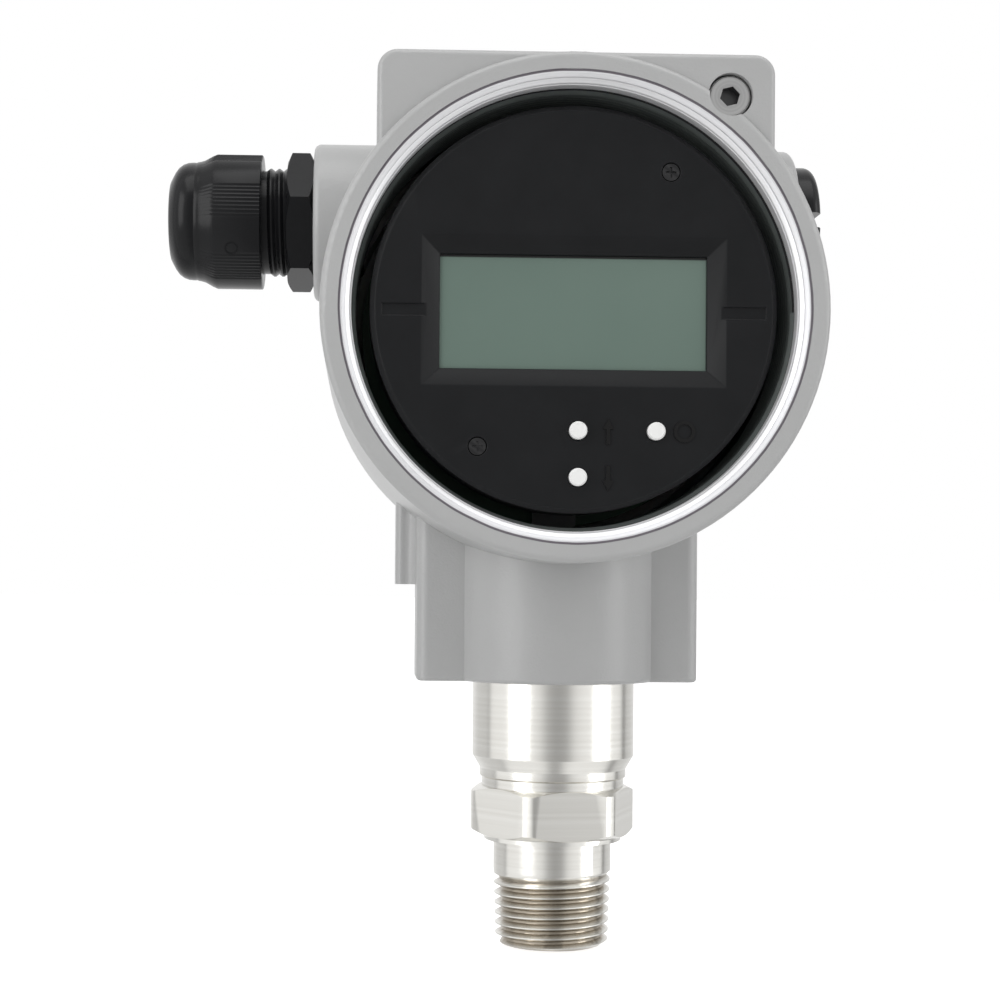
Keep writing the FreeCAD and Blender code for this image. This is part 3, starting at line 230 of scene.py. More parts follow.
def makePolarGroup():
    # radius, angle and height about the Z axis of the incoming coordinates
    tree, start, end = makeGroup(
        "polarPlace",
        [("Vector", "NodeSocketVector", None)],
        [("Radius", "NodeSocketFloat"), ("Angle", "NodeSocketFloat"), ("Height", "NodeSocketFloat")],
    )
    apart = putNode(tree, "ShaderNodeSeparateXYZ", (-700, 0))
    flat = putNode(tree, "ShaderNodeCombineXYZ", (-500, 100))
    length = putNode(tree, "ShaderNodeVectorMath", (-300, 100), {"operation": "LENGTH"})
    angle = putNode(tree, "ShaderNodeMath", (-300, -100), {"operation": "ARCTAN2"})
    tree.links.new(start.outputs["Vector"], apart.inputs[0])
    tree.links.new(apart.outputs["X"], flat.inputs["X"])
    tree.links.new(apart.outputs["Y"], flat.inputs["Y"])
    tree.links.new(flat.outputs[0], length.inputs[0])
    tree.links.new(apart.outputs["Y"], angle.inputs[0])
    tree.links.new(apart.outputs["X"], angle.inputs[1])
    tree.links.new(length.outputs["Value"], end.inputs["Radius"])
    tree.links.new(angle.outputs[0], end.inputs["Angle"])
    tree.links.new(apart.outputs["Z"], end.inputs["Height"])
    return tree


def makeLatheGroup():
    # fine turning marks: noise that changes quickly along one way and slowly round the work
    tree, start, end = makeGroup(
        "latheMarks",
        [("Along", "NodeSocketFloat", 0), ("Angle", "NodeSocketFloat", 0),
         ("Density", "NodeSocketFloat", 9000), ("Drift", "NodeSocketFloat", 0.6)],
        [("Height", "NodeSocketFloat"), ("Streak", "NodeSocketFloat")],
    )
    dense = putNode(tree, "ShaderNodeMath", (-700, 100), {"operation": "MULTIPLY"})
    turn = putNode(tree, "ShaderNodeMath", (-700, -100), {"operation": "SINE"})
    drift = putNode(tree, "ShaderNodeMath", (-500, -100), {"operation": "MULTIPLY"})
    place = putNode(tree, "ShaderNodeCombineXYZ", (-300, 0))
    fine = putNode(tree, "ShaderNodeTexNoise", (-100, 100), None, {"Scale": 1, "Detail": 3, "Roughness": 0.6})
    wide = putNode(tree, "ShaderNodeTexNoise", (-100, -150), None,
                   {"Scale": 0.08, "Detail": 2, "Roughness": 0.5})
    streak = putNode(tree, "ShaderNodeMapRange", (150, -150), None, {"From Min": 0.35, "From Max": 0.65})
    tree.links.new(start.outputs["Along"], dense.inputs[0])
    tree.links.new(start.outputs["Density"], dense.inputs[1])
    tree.links.new(start.outputs["Angle"], turn.inputs[0])
    tree.links.new(turn.outputs[0], drift.inputs[0])
    tree.links.new(start.outputs["Drift"], drift.inputs[1])
    tree.links.new(dense.outputs[0], place.inputs["X"])
    tree.links.new(drift.outputs[0], place.inputs["Y"])
    tree.links.new(place.outputs[0], fine.inputs["Vector"])
    tree.links.new(place.outputs[0], wide.inputs["Vector"])
    tree.links.new(wide.outputs[0], streak.inputs["Value"])
    tree.links.new(fine.outputs[0], end.inputs["Height"])
    tree.links.new(streak.outputs[0], end.inputs["Streak"])
    return tree


def makeGrainGroup():
    # an even grain, a finer one on top of it, and wide soft patches
    tree, start, end = makeGroup(
        "surfaceGrain",
        [("Vector", "NodeSocketVector", None), ("Scale", "NodeSocketFloat", 700),
         ("Fineness", "NodeSocketFloat", 4), ("Fine Share", "NodeSocketFloat", 0.3)],
        [("Height", "NodeSocketFloat"), ("Patches", "NodeSocketFloat")],
    )
    small = putNode(tree, "ShaderNodeMath", (-700, -100), {"operation": "MULTIPLY"})
    large = putNode(tree, "ShaderNodeMath", (-700, -300), {"operation": "MULTIPLY"}, {1: 0.05})
    peel = putNode(tree, "ShaderNodeTexNoise", (-450, 150), None, {"Detail": 1.5, "Roughness": 0.45})
    fine = putNode(tree, "ShaderNodeTexNoise", (-450, -100), None, {"Detail": 2, "Roughness": 0.5})
    wide = putNode(tree, "ShaderNodeTexNoise", (-450, -350), None, {"Detail": 3, "Roughness": 0.55})
    both = putNode(tree, "ShaderNodeMix", (-150, 50), {"data_type": "FLOAT"})
    soft = putNode(tree, "ShaderNodeMapRange", (-150, -300), None, {"From Min": 0.1, "From Max": 0.9})
    tree.links.new(start.outputs["Scale"], small.inputs[0])
    tree.links.new(start.outputs["Fineness"], small.inputs[1])
    tree.links.new(start.outputs["Scale"], large.inputs[0])
    for noise, scale in ((peel, start.outputs["Scale"]), (fine, small.outputs[0]), (wide, large.outputs[0])):
        tree.links.new(start.outputs["Vector"], noise.inputs["Vector"])
        tree.links.new(scale, noise.inputs["Scale"])
    tree.links.new(start.outputs["Fine Share"], both.inputs["Factor"])
    tree.links.new(peel.outputs[0], both.inputs["A"])
    tree.links.new(fine.outputs[0], both.inputs["B"])
    tree.links.new(wide.outputs[0], soft.inputs["Value"])
    tree.links.new(both.outputs[0], end.inputs["Height"])
    tree.links.new(soft.outputs[0], end.inputs["Patches"])
    return tree


def makeRootShadeGroup():
    # how deep a point lies below the crests of the taper thread, 0 above the thread; it sets how much painted
    # shade the thread roots get
    tree, start, end = makeGroup(
        "threadRootShade",
        [("Radius", "NodeSocketFloat", 0), ("Height", "NodeSocketFloat", 0),
         ("Top Radius", "NodeSocketFloat", 0.01067), ("Length", "NodeSocketFloat", 0.0134),
         ("Taper", "NodeSocketFloat", 1 / 32)],
        [("Depth", "NodeSocketFloat")],
    )
    left = putNode(tree, "ShaderNodeMath", (-700, 0), {"operation": "SUBTRACT"})
    lost = putNode(tree, "ShaderNodeMath", (-500, 0), {"operation": "MULTIPLY"})
    crest = putNode(tree, "ShaderNodeMath", (-300, 0), {"operation": "SUBTRACT"})
    below = putNode(tree, "ShaderNodeMath", (-100, 0), {"operation": "SUBTRACT"})
    depth = putNode(tree, "ShaderNodeMapRange", (100, 0), None, {"From Min": 0.00025, "From Max": 0.00115})
    inside = putNode(tree, "ShaderNodeMath", (100, -250), {"operation": "GREATER_THAN"}, {1: 0})
    both = putNode(tree, "ShaderNodeMath", (400, 0), {"operation": "MULTIPLY"})
    tree.links.new(start.outputs["Length"], left.inputs[0])
    tree.links.new(start.outputs["Height"], left.inputs[1])
    tree.links.new(left.outputs[0], lost.inputs[0])
    tree.links.new(start.outputs["Taper"], lost.inputs[1])
    tree.links.new(start.outputs["Top Radius"], crest.inputs[0])
    tree.links.new(lost.outputs[0], crest.inputs[1])
    tree.links.new(crest.outputs[0], below.inputs[0])
    tree.links.new(start.outputs["Radius"], below.inputs[1])
    tree.links.new(below.outputs[0], depth.inputs["Value"])
    tree.links.new(left.outputs[0], inside.inputs[0])
    tree.links.new(depth.outputs[0], both.inputs[0])
    tree.links.new(inside.outputs[0], both.inputs[1])
    tree.links.new(both.outputs[0], end.inputs["Depth"])
    return tree


polarPlace = makePolarGroup()
threadRootShade = makeRootShadeGroup()
latheMarks = makeLatheGroup()
surfaceGrain = makeGrainGroup()
print("shader groups made")


# finishes

def newMaterial(name):
    material = bpy.data.materials.new(name)
    material.use_nodes = True
    tree = material.node_tree
    tree.nodes.clear()
    shader = putNode(tree, "ShaderNodeBsdfPrincipled", (700, 0))
    out = putNode(tree, "ShaderNodeOutputMaterial", (1000, 0))
    tree.links.new(shader.outputs[0], out.inputs["Surface"])
    places = putNode(tree, "ShaderNodeTexCoord", (-1300, 0)).outputs
    return material, tree, shader, places


def putGroup(tree, group, at, values=None):
    node = putNode(tree, "ShaderNodeGroup", at, {"node_tree": group})
    for name, value in (values or {}).items():
        node.inputs[name].default_value = value
    return node


def spread(tree, source, at, low, high):
    node = putNode(tree, "ShaderNodeMapRange", at, None, {"To Min": low, "To Max": high})
    tree.links.new(source, node.inputs["Value"])
    return node.outputs[0]


def feed(tree, socket, source):
    # a link from another socket, or else a plain value
    if hasattr(source, "is_linked"):
        tree.links.new(source, socket)
    else:
        socket.default_value = source


def blendColours(tree, factor, at, first, second):
    # sockets 6 and 7 of a Mix node take its colours, and output 2 gives the blend
    node = putNode(tree, "ShaderNodeMix", at, {"data_type": "RGBA"})
    tree.links.new(factor, node.inputs["Factor"])
    feed(tree, node.inputs[6], first)
    feed(tree, node.inputs[7], second)
    return node.outputs[2]


def blendValues(tree, factor, at, first, second):
    node = putNode(tree, "ShaderNodeMix", at, {"data_type": "FLOAT"})
    tree.links.new(factor, node.inputs["Factor"])
    feed(tree, node.inputs["A"], first)
    feed(tree, node.inputs["B"], second)
    return node.outputs[0]


def roughen(tree, height, shader, at, distance):
    bump = putNode(tree, "ShaderNodeBump", at, None, {"Distance": distance})
    tree.links.new(height, bump.inputs["Height"])
    tree.links.new(bump.outputs[0], shader.inputs["Normal"])


def polarAbout(tree, place, at, centre, turn):
    # radius, angle and height about an axis through centre, turned by these degrees to stand along Z
    x, y = at
    moved = putNode(tree, "ShaderNodeVectorMath", (x, y), {"operation": "SUBTRACT"})
    moved.inputs[1].default_value = centre
    turned = putNode(tree, "ShaderNodeMapping", (x + 200, y), None,
                     {"Rotation": [math.radians(angle) for angle in turn]})
    polar = putGroup(tree, polarPlace, (x + 400, y))
    tree.links.new(place, moved.inputs[0])
    tree.links.new(moved.outputs[0], turned.inputs["Vector"])
    tree.links.new(turned.outputs[0], polar.inputs["Vector"])
    return polar.outputs


plasticLooks = {
    "blackPlastic": {"dark": (0.008, 0.0085, 0.0094, 1), "light": (0.0115, 0.012, 0.0132, 1),
                     "rough": (0.38, 0.46), "grain": 2600, "bump": 0.000012, "gloss": 0.2},
    "glandPlastic": {"dark": (0.007, 0.0072, 0.008, 1), "light": (0.0105, 0.0108, 0.012, 1),
                     "rough": (0.2, 0.28), "grain": 1500, "bump": 0.000008, "gloss": 0.2},
    "whitePlastic": {"dark": (0.96, 0.96, 0.95, 1), "light": (0.99, 0.99, 0.98, 1),
                     "rough": (0.3, 0.42), "grain": 2600, "bump": 0.000006},
    "lightGuide": {"dark": (0.72, 0.72, 0.7, 1), "light": (0.8, 0.8, 0.78, 1),
                   "rough": (0.2, 0.3), "grain": 1200, "bump": 0.000004},
    "markPlastic": {"dark": (0.0022, 0.0022, 0.0024, 1), "light": (0.003, 0.003, 0.0032, 1),
                    "rough": (0.25, 0.3), "grain": 2600, "bump": 0.000004, "gloss": 0.4},
    # painted shade: the cover thread in the bore is coloured dark to stand for the shade there
    "shadedThread": {"dark": (0.075, 0.084, 0.081, 1), "light": (0.12, 0.134, 0.129, 1),
                   "rough": (0.28, 0.36), "grain": 2600, "bump": 0.000004, "gloss": 0.8},
    "sealRubber": {"dark": (0.01, 0.01, 0.011, 1), "light": (0.02, 0.02, 0.021, 1),
                   "rough": (0.6, 0.75), "grain": 1800, "bump": 0.00002},
    "boardLaminate": {"dark": (0.012, 0.07, 0.03, 1), "light": (0.02, 0.11, 0.045, 1),
                      "rough": (0.3, 0.45), "grain": 900, "bump": 0.000006},
    "terminalPlastic": {"dark": (0.03, 0.16, 0.07, 1), "light": (0.05, 0.2, 0.09, 1),
                        "rough": (0.4, 0.5), "grain": 1600, "bump": 0.00001},
    "ribbonPlastic": {"dark": (0.3, 0.31, 0.32, 1), "light": (0.38, 0.39, 0.4, 1),
                      "rough": (0.4, 0.5), "grain": 1600, "bump": 0.00001},
}


def makePlastic(name, look):
    material, tree, shader, places = newMaterial(name)
    grain = putGroup(tree, surfaceGrain, (-900, 0), {"Scale": look["grain"]})
    tree.links.new(places["Object"], grain.inputs["Vector"])
    colour = blendColours(tree, grain.outputs["Patches"], (-400, 200), look["dark"], look["light"])
    rough = spread(tree, grain.outputs["Patches"], (-400, -50), *look["rough"])
    tree.links.new(colour, shader.inputs["Base Color"])
    tree.links.new(rough, shader.inputs["Roughness"])
    shader.inputs["Specular IOR Level"].default_value = look.get("gloss", 0.5)
    roughen(tree, grain.outputs["Height"], shader, (200, -300), look["bump"])
    return material


aboutStem = {"centre": (0, 0, 0), "turn": (0, 0, 0), "axis": (0, 0, 1)}
aboutDrum = {"centre": drumAxis, "turn": (90, 0, 0), "axis": (0, 1, 0)}
aboutLock = {"centre": (0.0257, 0, 0.1473), "turn": (90, 0, 0), "axis": (0, 1, 0)}
lockFace = min(corner[1] for corner in nodes["lock_screw"].bound_box)

metalLooks = {
    # root: painted shade, the colour blended into the thread roots
    "turnedStainless": {"dark": (0.755, 0.74, 0.7, 1), "light": (0.82, 0.81, 0.775, 1), "rough": (0.17, 0.26),
                        "root": (0.4, 0.355, 0.29, 1), "density": 12000, "bump": 0.0000012, **aboutStem},
    # painted shade: the lock screw darkens from just behind its head face inwards, over its socket and sunk
    # sides
    "screwSteel": {"dark": (0.5, 0.5, 0.5, 1), "light": (0.66, 0.66, 0.655, 1), "rough": (0.28, 0.42),
                   "hollow": (0.1, 0.1, 0.102, 1), "hollowDepth": lockFace + 0.00035,
                   "density": 16000, "bump": 0.000002, **aboutLock},
    "platedSteel": {"dark": (0.5, 0.49, 0.46, 1), "light": (0.62, 0.61, 0.58, 1), "rough": (0.25, 0.4),
                    "density": 12000, "bump": 0.000005, **aboutDrum},
    "platedBrass": {"dark": (0.5, 0.47, 0.4, 1), "light": (0.64, 0.61, 0.53, 1), "rough": (0.25, 0.4),
                    "density": 12000, "bump": 0.000005, **aboutDrum},
    "bareAluminium": {"dark": (0.82, 0.82, 0.835, 1), "light": (0.93, 0.93, 0.94, 1), "rough": (0.34, 0.44),
                      "metal": 0.5, "density": 14000, "bump": 0.000002, **aboutDrum},
    "blackSteel": {"dark": (0.05, 0.05, 0.052, 1), "light": (0.09, 0.09, 0.092, 1), "rough": (0.2, 0.3),
                   "density": 12000, "bump": 0.000005, **aboutDrum},
}
endFaceShare = 0.8  # a face whose normal lies this much along the axis is an end face


def turningPath(tree, places, polar, axis):
    # how far the tool has gone: along the axis on the sides, and outwards on the end faces
    level = putNode(tree, "ShaderNodeVectorMath", (-1000, -300), {"operation": "DOT_PRODUCT"})
    level.inputs[1].default_value = axis
    upright = putNode(tree, "ShaderNodeMath", (-850, -300), {"operation": "ABSOLUTE"})
    flat = putNode(tree, "ShaderNodeMath", (-700, -300), {"operation": "GREATER_THAN"}, {1: endFaceShare})
    tree.links.new(places["Normal"], level.inputs[0])
    tree.links.new(level.outputs["Value"], upright.inputs[0])
    tree.links.new(upright.outputs[0], flat.inputs[0])
    return blendValues(tree, flat.outputs[0], (-600, -200), polar["Height"], polar["Radius"])


def makeMetal(name, look):
    material, tree, shader, places = newMaterial(name)
    polar = polarAbout(tree, places["Object"], (-1100, 0), look["centre"], look["turn"])
    lathe = putGroup(tree, latheMarks, (-450, 0), {"Density": look["density"]})
    tree.links.new(turningPath(tree, places, polar, look["axis"]), lathe.inputs["Along"])
    tree.links.new(polar["Angle"], lathe.inputs["Angle"])
    shader.inputs["Metallic"].default_value = look.get("metal", 1)
    colour = blendColours(tree, lathe.outputs["Streak"], (-100, 200), look["dark"], look["light"])
    # painted shade: the thread roots darken by how deep they lie below the crests
    if "root" in look:
        root = putGroup(tree, threadRootShade, (-450, 400))
        tree.links.new(polar["Radius"], root.inputs["Radius"])
        tree.links.new(polar["Height"], root.inputs["Height"])
        colour = blendColours(tree, root.outputs["Depth"], (100, 300), colour, look["root"])
    # painted shade: all of the screw deeper than this takes the dark colour
    if "hollow" in look:
        hollow = putNode(tree, "ShaderNodeMath", (-100, 400), {"operation": "GREATER_THAN"},
                         {1: look["hollowDepth"]})
        tree.links.new(polar["Height"], hollow.inputs[0])
        colour = blendColours(tree, hollow.outputs[0], (300, 300), colour, look["hollow"])
    rough = spread(tree, lathe.outputs["Height"], (-100, -50), *look["rough"])
    tree.links.new(colour, shader.inputs["Base Color"])
    tree.links.new(rough, shader.inputs["Roughness"])
    roughen(tree, lathe.outputs["Height"], shader, (200, -300), look["bump"])
    return material


paintLook = {
    "dark": (0.448, 0.45, 0.449, 1),
    "light": (0.5, 0.503, 0.502, 1),
    "rough": (0.26, 0.36),
    "peel": 620,
    "fineness": 3.6,
    "fineShare": 0.5,
    "peelHeight": 0.00008,
    "lipRadius": 0.0395,
    "lipRaggedness": 0.00022,
    "raggedScale": 160,
    "edgeWidth": 0.00038,
    "edgeColour": (0.17, 0.155, 0.175, 1),
    "edgeSoftness": 0.00004,
    "boreEnd": -0.0005,  # nothing behind this is bare
    "bareDark": (0.76, 0.76, 0.78, 1),
    "bareLight": (0.92, 0.92, 0.94, 1),
    "bareMetal": 0.45,
    "bareRough": 0.42,
    "bareHeight": 0.5,
    "bareDensity": 14000,
    "mouthDepth": -0.0312,  # the bare mouth ends here and the painted shade of the tapped bore begins
    # painted shade: the near-black colour of the bore behind the mouth
    "boreShade": (0.02, 0.02, 0.021, 1),
}


def underLimit(tree, source, limit, at, softness):
    # 1 under the limit and 0 over it
    node = putNode(tree, "ShaderNodeMapRange", at, None,
                   {"From Min": limit - softness, "From Max": limit + softness, "To Min": 1, "To Max": 0})
    tree.links.new(source, node.inputs["Value"])
    return node.outputs[0]


def times(tree, first, second, at):
    node = putNode(tree, "ShaderNodeMath", at, {"operation": "MULTIPLY"})
    tree.links.new(first, node.inputs[0])
    tree.links.new(second, node.inputs[1])
    return node.outputs[0]


def makeLipMasks(tree, place, polar, look):
    # the bare mouth, the mouth with the dark edge of the paint round it, and the tapped bore that takes
    # painted shade
    soft = look["edgeSoftness"]
    apart = putNode(tree, "ShaderNodeSeparateXYZ", (-900, -600))
    tree.links.new(place, apart.inputs[0])
    ragged = putNode(tree, "ShaderNodeTexNoise", (-700, -550), None,
                     {"Scale": look["raggedScale"], "Detail": 2, "Roughness": 0.6})
    tree.links.new(place, ragged.inputs["Vector"])
    half = look["lipRaggedness"] / 2
    edge = putNode(tree, "ShaderNodeMath", (-300, -450), {"operation": "ADD"})
    tree.links.new(polar["Radius"], edge.inputs[0])
    tree.links.new(spread(tree, ragged.outputs[0], (-500, -550), -half, half), edge.inputs[1])

    inFront = underLimit(tree, apart.outputs["Y"], look["boreEnd"], (-700, -800), soft)
    inside = underLimit(tree, edge.outputs[0], look["lipRadius"] - look["edgeWidth"], (-100, -450), soft)
    bare = times(tree, inside, inFront, (100, -450))
    inLip = underLimit(tree, edge.outputs[0], look["lipRadius"], (-100, -650), soft)
    edged = times(tree, inLip, inFront, (100, -650))
    deep = putNode(tree, "ShaderNodeMath", (300, -800), {"operation": "SUBTRACT"}, {0: 1})
    shallow = underLimit(tree, apart.outputs["Y"], look["mouthDepth"], (-100, -850), soft)
    tree.links.new(shallow, deep.inputs[1])
    return bare, edged, times(tree, deep.outputs[0], edged, (450, -700))


def makeCastPaint(look):
    material, tree, shader, places = newMaterial("castPaint")
    place = places["Object"]
    grain = putGroup(tree, surfaceGrain, (-900, 300),
                     {"Scale": look["peel"], "Fineness": look["fineness"], "Fine Share": look["fineShare"]})
    tree.links.new(place, grain.inputs["Vector"])
    paint = blendColours(tree, grain.outputs["Patches"], (-500, 500), look["dark"], look["light"])
    paintRough = spread(tree, grain.outputs["Patches"], (-500, 250), *look["rough"])

    polar = polarAbout(tree, place, (-1100, -300), aboutDrum["centre"], aboutDrum["turn"])
    bare, edged, boreShadeMask = makeLipMasks(tree, place, polar, look)
    lathe = putGroup(tree, latheMarks, (-400, -250), {"Density": look["bareDensity"]})
    tree.links.new(polar["Radius"], lathe.inputs["Along"])
    tree.links.new(polar["Angle"], lathe.inputs["Angle"])
    metal = blendColours(tree, lathe.outputs["Streak"], (-200, -100), look["bareDark"], look["bareLight"])

    colour = blendColours(tree, edged, (150, 500), paint, look["edgeColour"])
    colour = blendColours(tree, bare, (300, 500), colour, metal)
    # painted shade: the bore behind the mouth is coloured near black
    colour = blendColours(tree, boreShadeMask, (450, 500), colour, look["boreShade"])
    metalShare = blendValues(tree, bare, (300, 400), 0.0, look["bareMetal"])
    rough = blendValues(tree, bare, (300, 250), paintRough, look["bareRough"])
    height = blendValues(tree, bare, (300, 0), grain.outputs["Height"], look["bareHeight"])
    tree.links.new(colour, shader.inputs["Base Color"])
    tree.links.new(metalShare, shader.inputs["Metallic"])
    tree.links.new(rough, shader.inputs["Roughness"])
    roughen(tree, height, shader, (500, -250), look["peelHeight"])
    return material


displayLook = {
    "dark": (0.125, 0.185, 0.155, 1),
    "light": (0.17, 0.235, 0.2, 1),
    "rough": (0.16, 0.32),
    "cloud": 28,
    "grain": 5000,
    "fineness": 2,
    "bump": 0.000002,
    # painted shadow: a near-black strip along the top and right edges of the LCD, where the window frame
    # shades it
    "borderTop": 0.12015,
    "borderRight": 0.02235,
    "borderSoftness": 0.00022,
    "border": (0.004, 0.004, 0.004, 1),
}


def makeDisplayGlass(look):
    material, tree, shader, places = newMaterial("displayGlass")
    place = places["Object"]
    grain = putGroup(tree, surfaceGrain, (-900, 0), {"Scale": look["grain"], "Fineness": look["fineness"]})
    tree.links.new(place, grain.inputs["Vector"])
    cloud = putNode(tree, "ShaderNodeTexNoise", (-900, -300), None, {"Scale": look["cloud"], "Detail": 2})
    tree.links.new(place, cloud.inputs["Vector"])
    colour = blendColours(tree, cloud.outputs[0], (-400, 200), look["dark"], look["light"])
    # painted shadow along the top and right edges of the LCD
    apart = putNode(tree, "ShaderNodeSeparateXYZ", (-900, 400))
    edge = putNode(tree, "ShaderNodeMath", (-400, 400), {"operation": "MAXIMUM"})
    tree.links.new(place, apart.inputs[0])
    for number, (axis, limit) in enumerate((("Z", look["borderTop"]), ("X", look["borderRight"]))):
        rise = putNode(tree, "ShaderNodeMapRange", (-650, 400 - 200 * number), None,
                       {"From Min": limit, "From Max": limit + look["borderSoftness"]})
        tree.links.new(apart.outputs[axis], rise.inputs["Value"])
        tree.links.new(rise.outputs[0], edge.inputs[number])
    colour = blendColours(tree, edge.outputs[0], (-200, 300), colour, look["border"])
    rough = spread(tree, grain.outputs["Height"], (-400, -50), *look["rough"])
    tree.links.new(colour, shader.inputs["Base Color"])
    tree.links.new(rough, shader.inputs["Roughness"])
    roughen(tree, grain.outputs["Height"], shader, (200, -300), look["bump"])
    return material


materials = {name: makePlastic(name, look) for name, look in plasticLooks.items()}
materials.update({name: makeMetal(name, look) for name, look in metalLooks.items()})
materials["castPaint"] = makeCastPaint(paintLook)
materials["displayGlass"] = makeDisplayGlass(displayLook)

nodeFinishes = {
    "castPaint": ["housing"],
    "turnedStainless": ["process_connection", "sensor_tube", "pressure_sensor", "sensor_retainer",
                        "neck_set_screw", "earth_clamp", "earth_screw"],
    "screwSteel": ["lock_screw"],
    "blackPlastic": ["display_bezel", "tact_switches", "ribbon_socket"],
    "glandPlastic": ["gland_body", "gland_cap_nut", "blanking_plug"],
    "whitePlastic": ["up_button", "enter_button", "down_button"],
    "lightGuide": ["lcd_backlight"],
    "displayGlass": ["lcd_cell"],
    "blackSteel": ["display_screws"],
    "sealRubber": ["gland_seal", "gland_o_ring", "plug_o_ring", "neck_o_ring", "sensor_o_ring"],
    "boardLaminate": ["sensor_board", "display_board", "main_board"],
    "terminalPlastic": ["terminal_block"],
    "ribbonPlastic": ["sensor_ribbon"],
    "platedSteel": ["terminal_screws"],
    "platedBrass": ["display_spacers"],
}
for finish, names in nodeFinishes.items():
    for name in names:
        for slot in nodes[name].material_slots:
            slot.link = "OBJECT"
            slot.material = materials[finish]
print("finishes made:", len(materials))


# pieces

def putPiece(name, build, material, body):
    mesh = bpy.data.meshes.new(name)
    build.to_mesh(mesh)
    build.free()
    mesh.materials.append(material)
    piece = bpy.data.objects.new(name, mesh)
    bpy.context.scene.collection.objects.link(piece)
    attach(piece, body)
    return piece


def shadeByAngle(piece, degrees=30):
    for face in piece.data.polygons:
        face.use_smooth = True
    piece.data.set_sharp_from_angle(angle=math.radians(degrees))


def bevelEdges(piece, width, degrees):
    # rounds, in two steps, the edges that turn by more than this
    bevel = piece.modifiers.new("softEdges", "BEVEL")
    bevel.width = width
    bevel.segments = 2
    bevel.limit_method = "ANGLE"
    bevel.angle_limit = math.radians(degrees)
    bevel.harden_normals = True


cutSlack = 0.000001


def cutBuild(build, place, normal, **sides):
    bmesh.ops.bisect_plane(build, geom=build.verts[:] + build.edges[:] + build.faces[:], dist=cutSlack,
                           plane_co=place, plane_no=normal, **sides)


def newVerts(result):
    return [item for item in result["geom"] if isinstance(item, bmesh.types.BMVert)]


def raiseFlat(build, rise):
    # gives a flat shape its thickness
    top = bmesh.ops.extrude_face_region(build, geom=build.faces[:])
    bmesh.ops.translate(build, verts=newVerts(top), vec=rise)
    bmesh.ops.recalc_face_normals(build, faces=build.faces)


def flatRing(radius, width, steps):
    build = bmesh.new()
    bmesh.ops.create_circle(build, segments=steps, radius=radius)
    bmesh.ops.create_circle(build, segments=steps, radius=radius - width)
    bmesh.ops.bridge_loops(build, edges=build.edges[:])
    return build


def joinRings(build, rings):
    # a closed skin over rings of points that follow one another round an axis
    for ring, after in zip(rings, rings[1:] + rings[:1]):
        for here in range(len(ring)):
            there = (here + 1) % len(ring)
            build.faces.new((ring[here], ring[there], after[there], after[here]))
    bmesh.ops.recalc_face_normals(build, faces=build.faces)


mergeDistance = 0.000002
flatTurn = 0.4  # degrees; faces that turn less than this become one again


def copyOfNode(name):
    # a merged copy of a CAD node with its flat faces whole again
    build = bmesh.new()
    build.from_mesh(nodes[name].data)
    bmesh.ops.remove_doubles(build, verts=build.verts, dist=mergeDistance)
    bmesh.ops.dissolve_limit(build, angle_limit=math.radians(flatTurn), verts=build.verts, edges=build.edges)
    return build


glandSizes = {
    "hexTurn": 10.4,  # degrees
    "hexScale": 22 / 24,
    "hexEnds": (-0.0493, -0.0443),
    "hexInside": 0.0102,
}


def shapeGlandBody(build, sizes):
    bmesh.ops.rotate(build, verts=build.verts, cent=conduitAxis,
                     matrix=Matrix.Rotation(math.radians(sizes["hexTurn"]), 3, "X"))
    low, high = sizes["hexEnds"]
    for vert in build.verts:
        out = vert.co - conduitAxis
        if low < vert.co.x < high and math.hypot(out.y, out.z) > sizes["hexInside"]:
            vert.co.y = conduitAxis.y + out.y * sizes["hexScale"]
            vert.co.z = conduitAxis.z + out.z * sizes["hexScale"]


softCopies = {
    # node: finish, body, slot, bevel width, bevel angle
    "display_bezel": ("blackPlastic", "head", "black_plastic", 0.00016, 12),
    "gland_body": ("glandPlastic", "head", "black_plastic", 0.0002, 32),
    "blanking_plug": ("glandPlastic", "head", "black_plastic", 0.0002, 40),
}
for name, (finish, body, slot, width, angle) in softCopies.items():
    build = copyOfNode(name)
    if name == "gland_body":
        shapeGlandBody(build, glandSizes)
    piece = putPiece(name + "_soft", build, materials[finish], body)
    shadeByAngle(piece)
    bevelEdges(piece, width, angle)
    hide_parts(name)
print("soft-edged copies made:", len(softCopies))


# the gland's cap nut: groups of fine ribs between smooth stretches, and a cone down to the nose

capSizes = {
    "profile": [
        # x, radius, share of the rib depth; closed through the cable opening and the bore
        (-0.05375, 0.0094, 0), (-0.05375, 0.01190, 1), (-0.05392, 0.01212, 1), (-0.0620, 0.01212, 1),
        (-0.0629, 0.01175, 0.6), (-0.0642, 0.01102, 0.15), (-0.0650, 0.01078, 0), (-0.06555, 0.01070, 0),
        (-0.0657, 0.01058, 0), (-0.0663, 0.01061, 0), (-0.0672, 0.01055, 0), (-0.0681, 0.01025, 0),
        (-0.0689, 0.00968, 0), (-0.0695, 0.00890, 0), (-0.07005, 0.00790, 0), (-0.0704, 0.00720, 0),
        (-0.07045, 0.00690, 0), (-0.0702, 0.00680, 0), (-0.0691, 0.00680, 0), (-0.0655, 0.00938, 0),
    ],
    "steps": 432,
    "ribShape": (0, 0.7, 1, 0.7),  # share of the rib depth at the steps from one rib to the next
    "groupSteps": 72,
    "ribbedSteps": 36,
    "ribDepth": 0.00012,
    "turn": 36.4,  # degrees from +Y to the first rib
    "sharpAngle": 38,
    "gripRadius": 0.01212,
    "markAlong": -0.0589,
    "markTurn": 212.5,
    "markRadius": 0.0012,
    "markWidth": 0.0003,
    "markSteps": 32,
    "markSink": 0.00001,
    "markHeight": 0.00006,
}


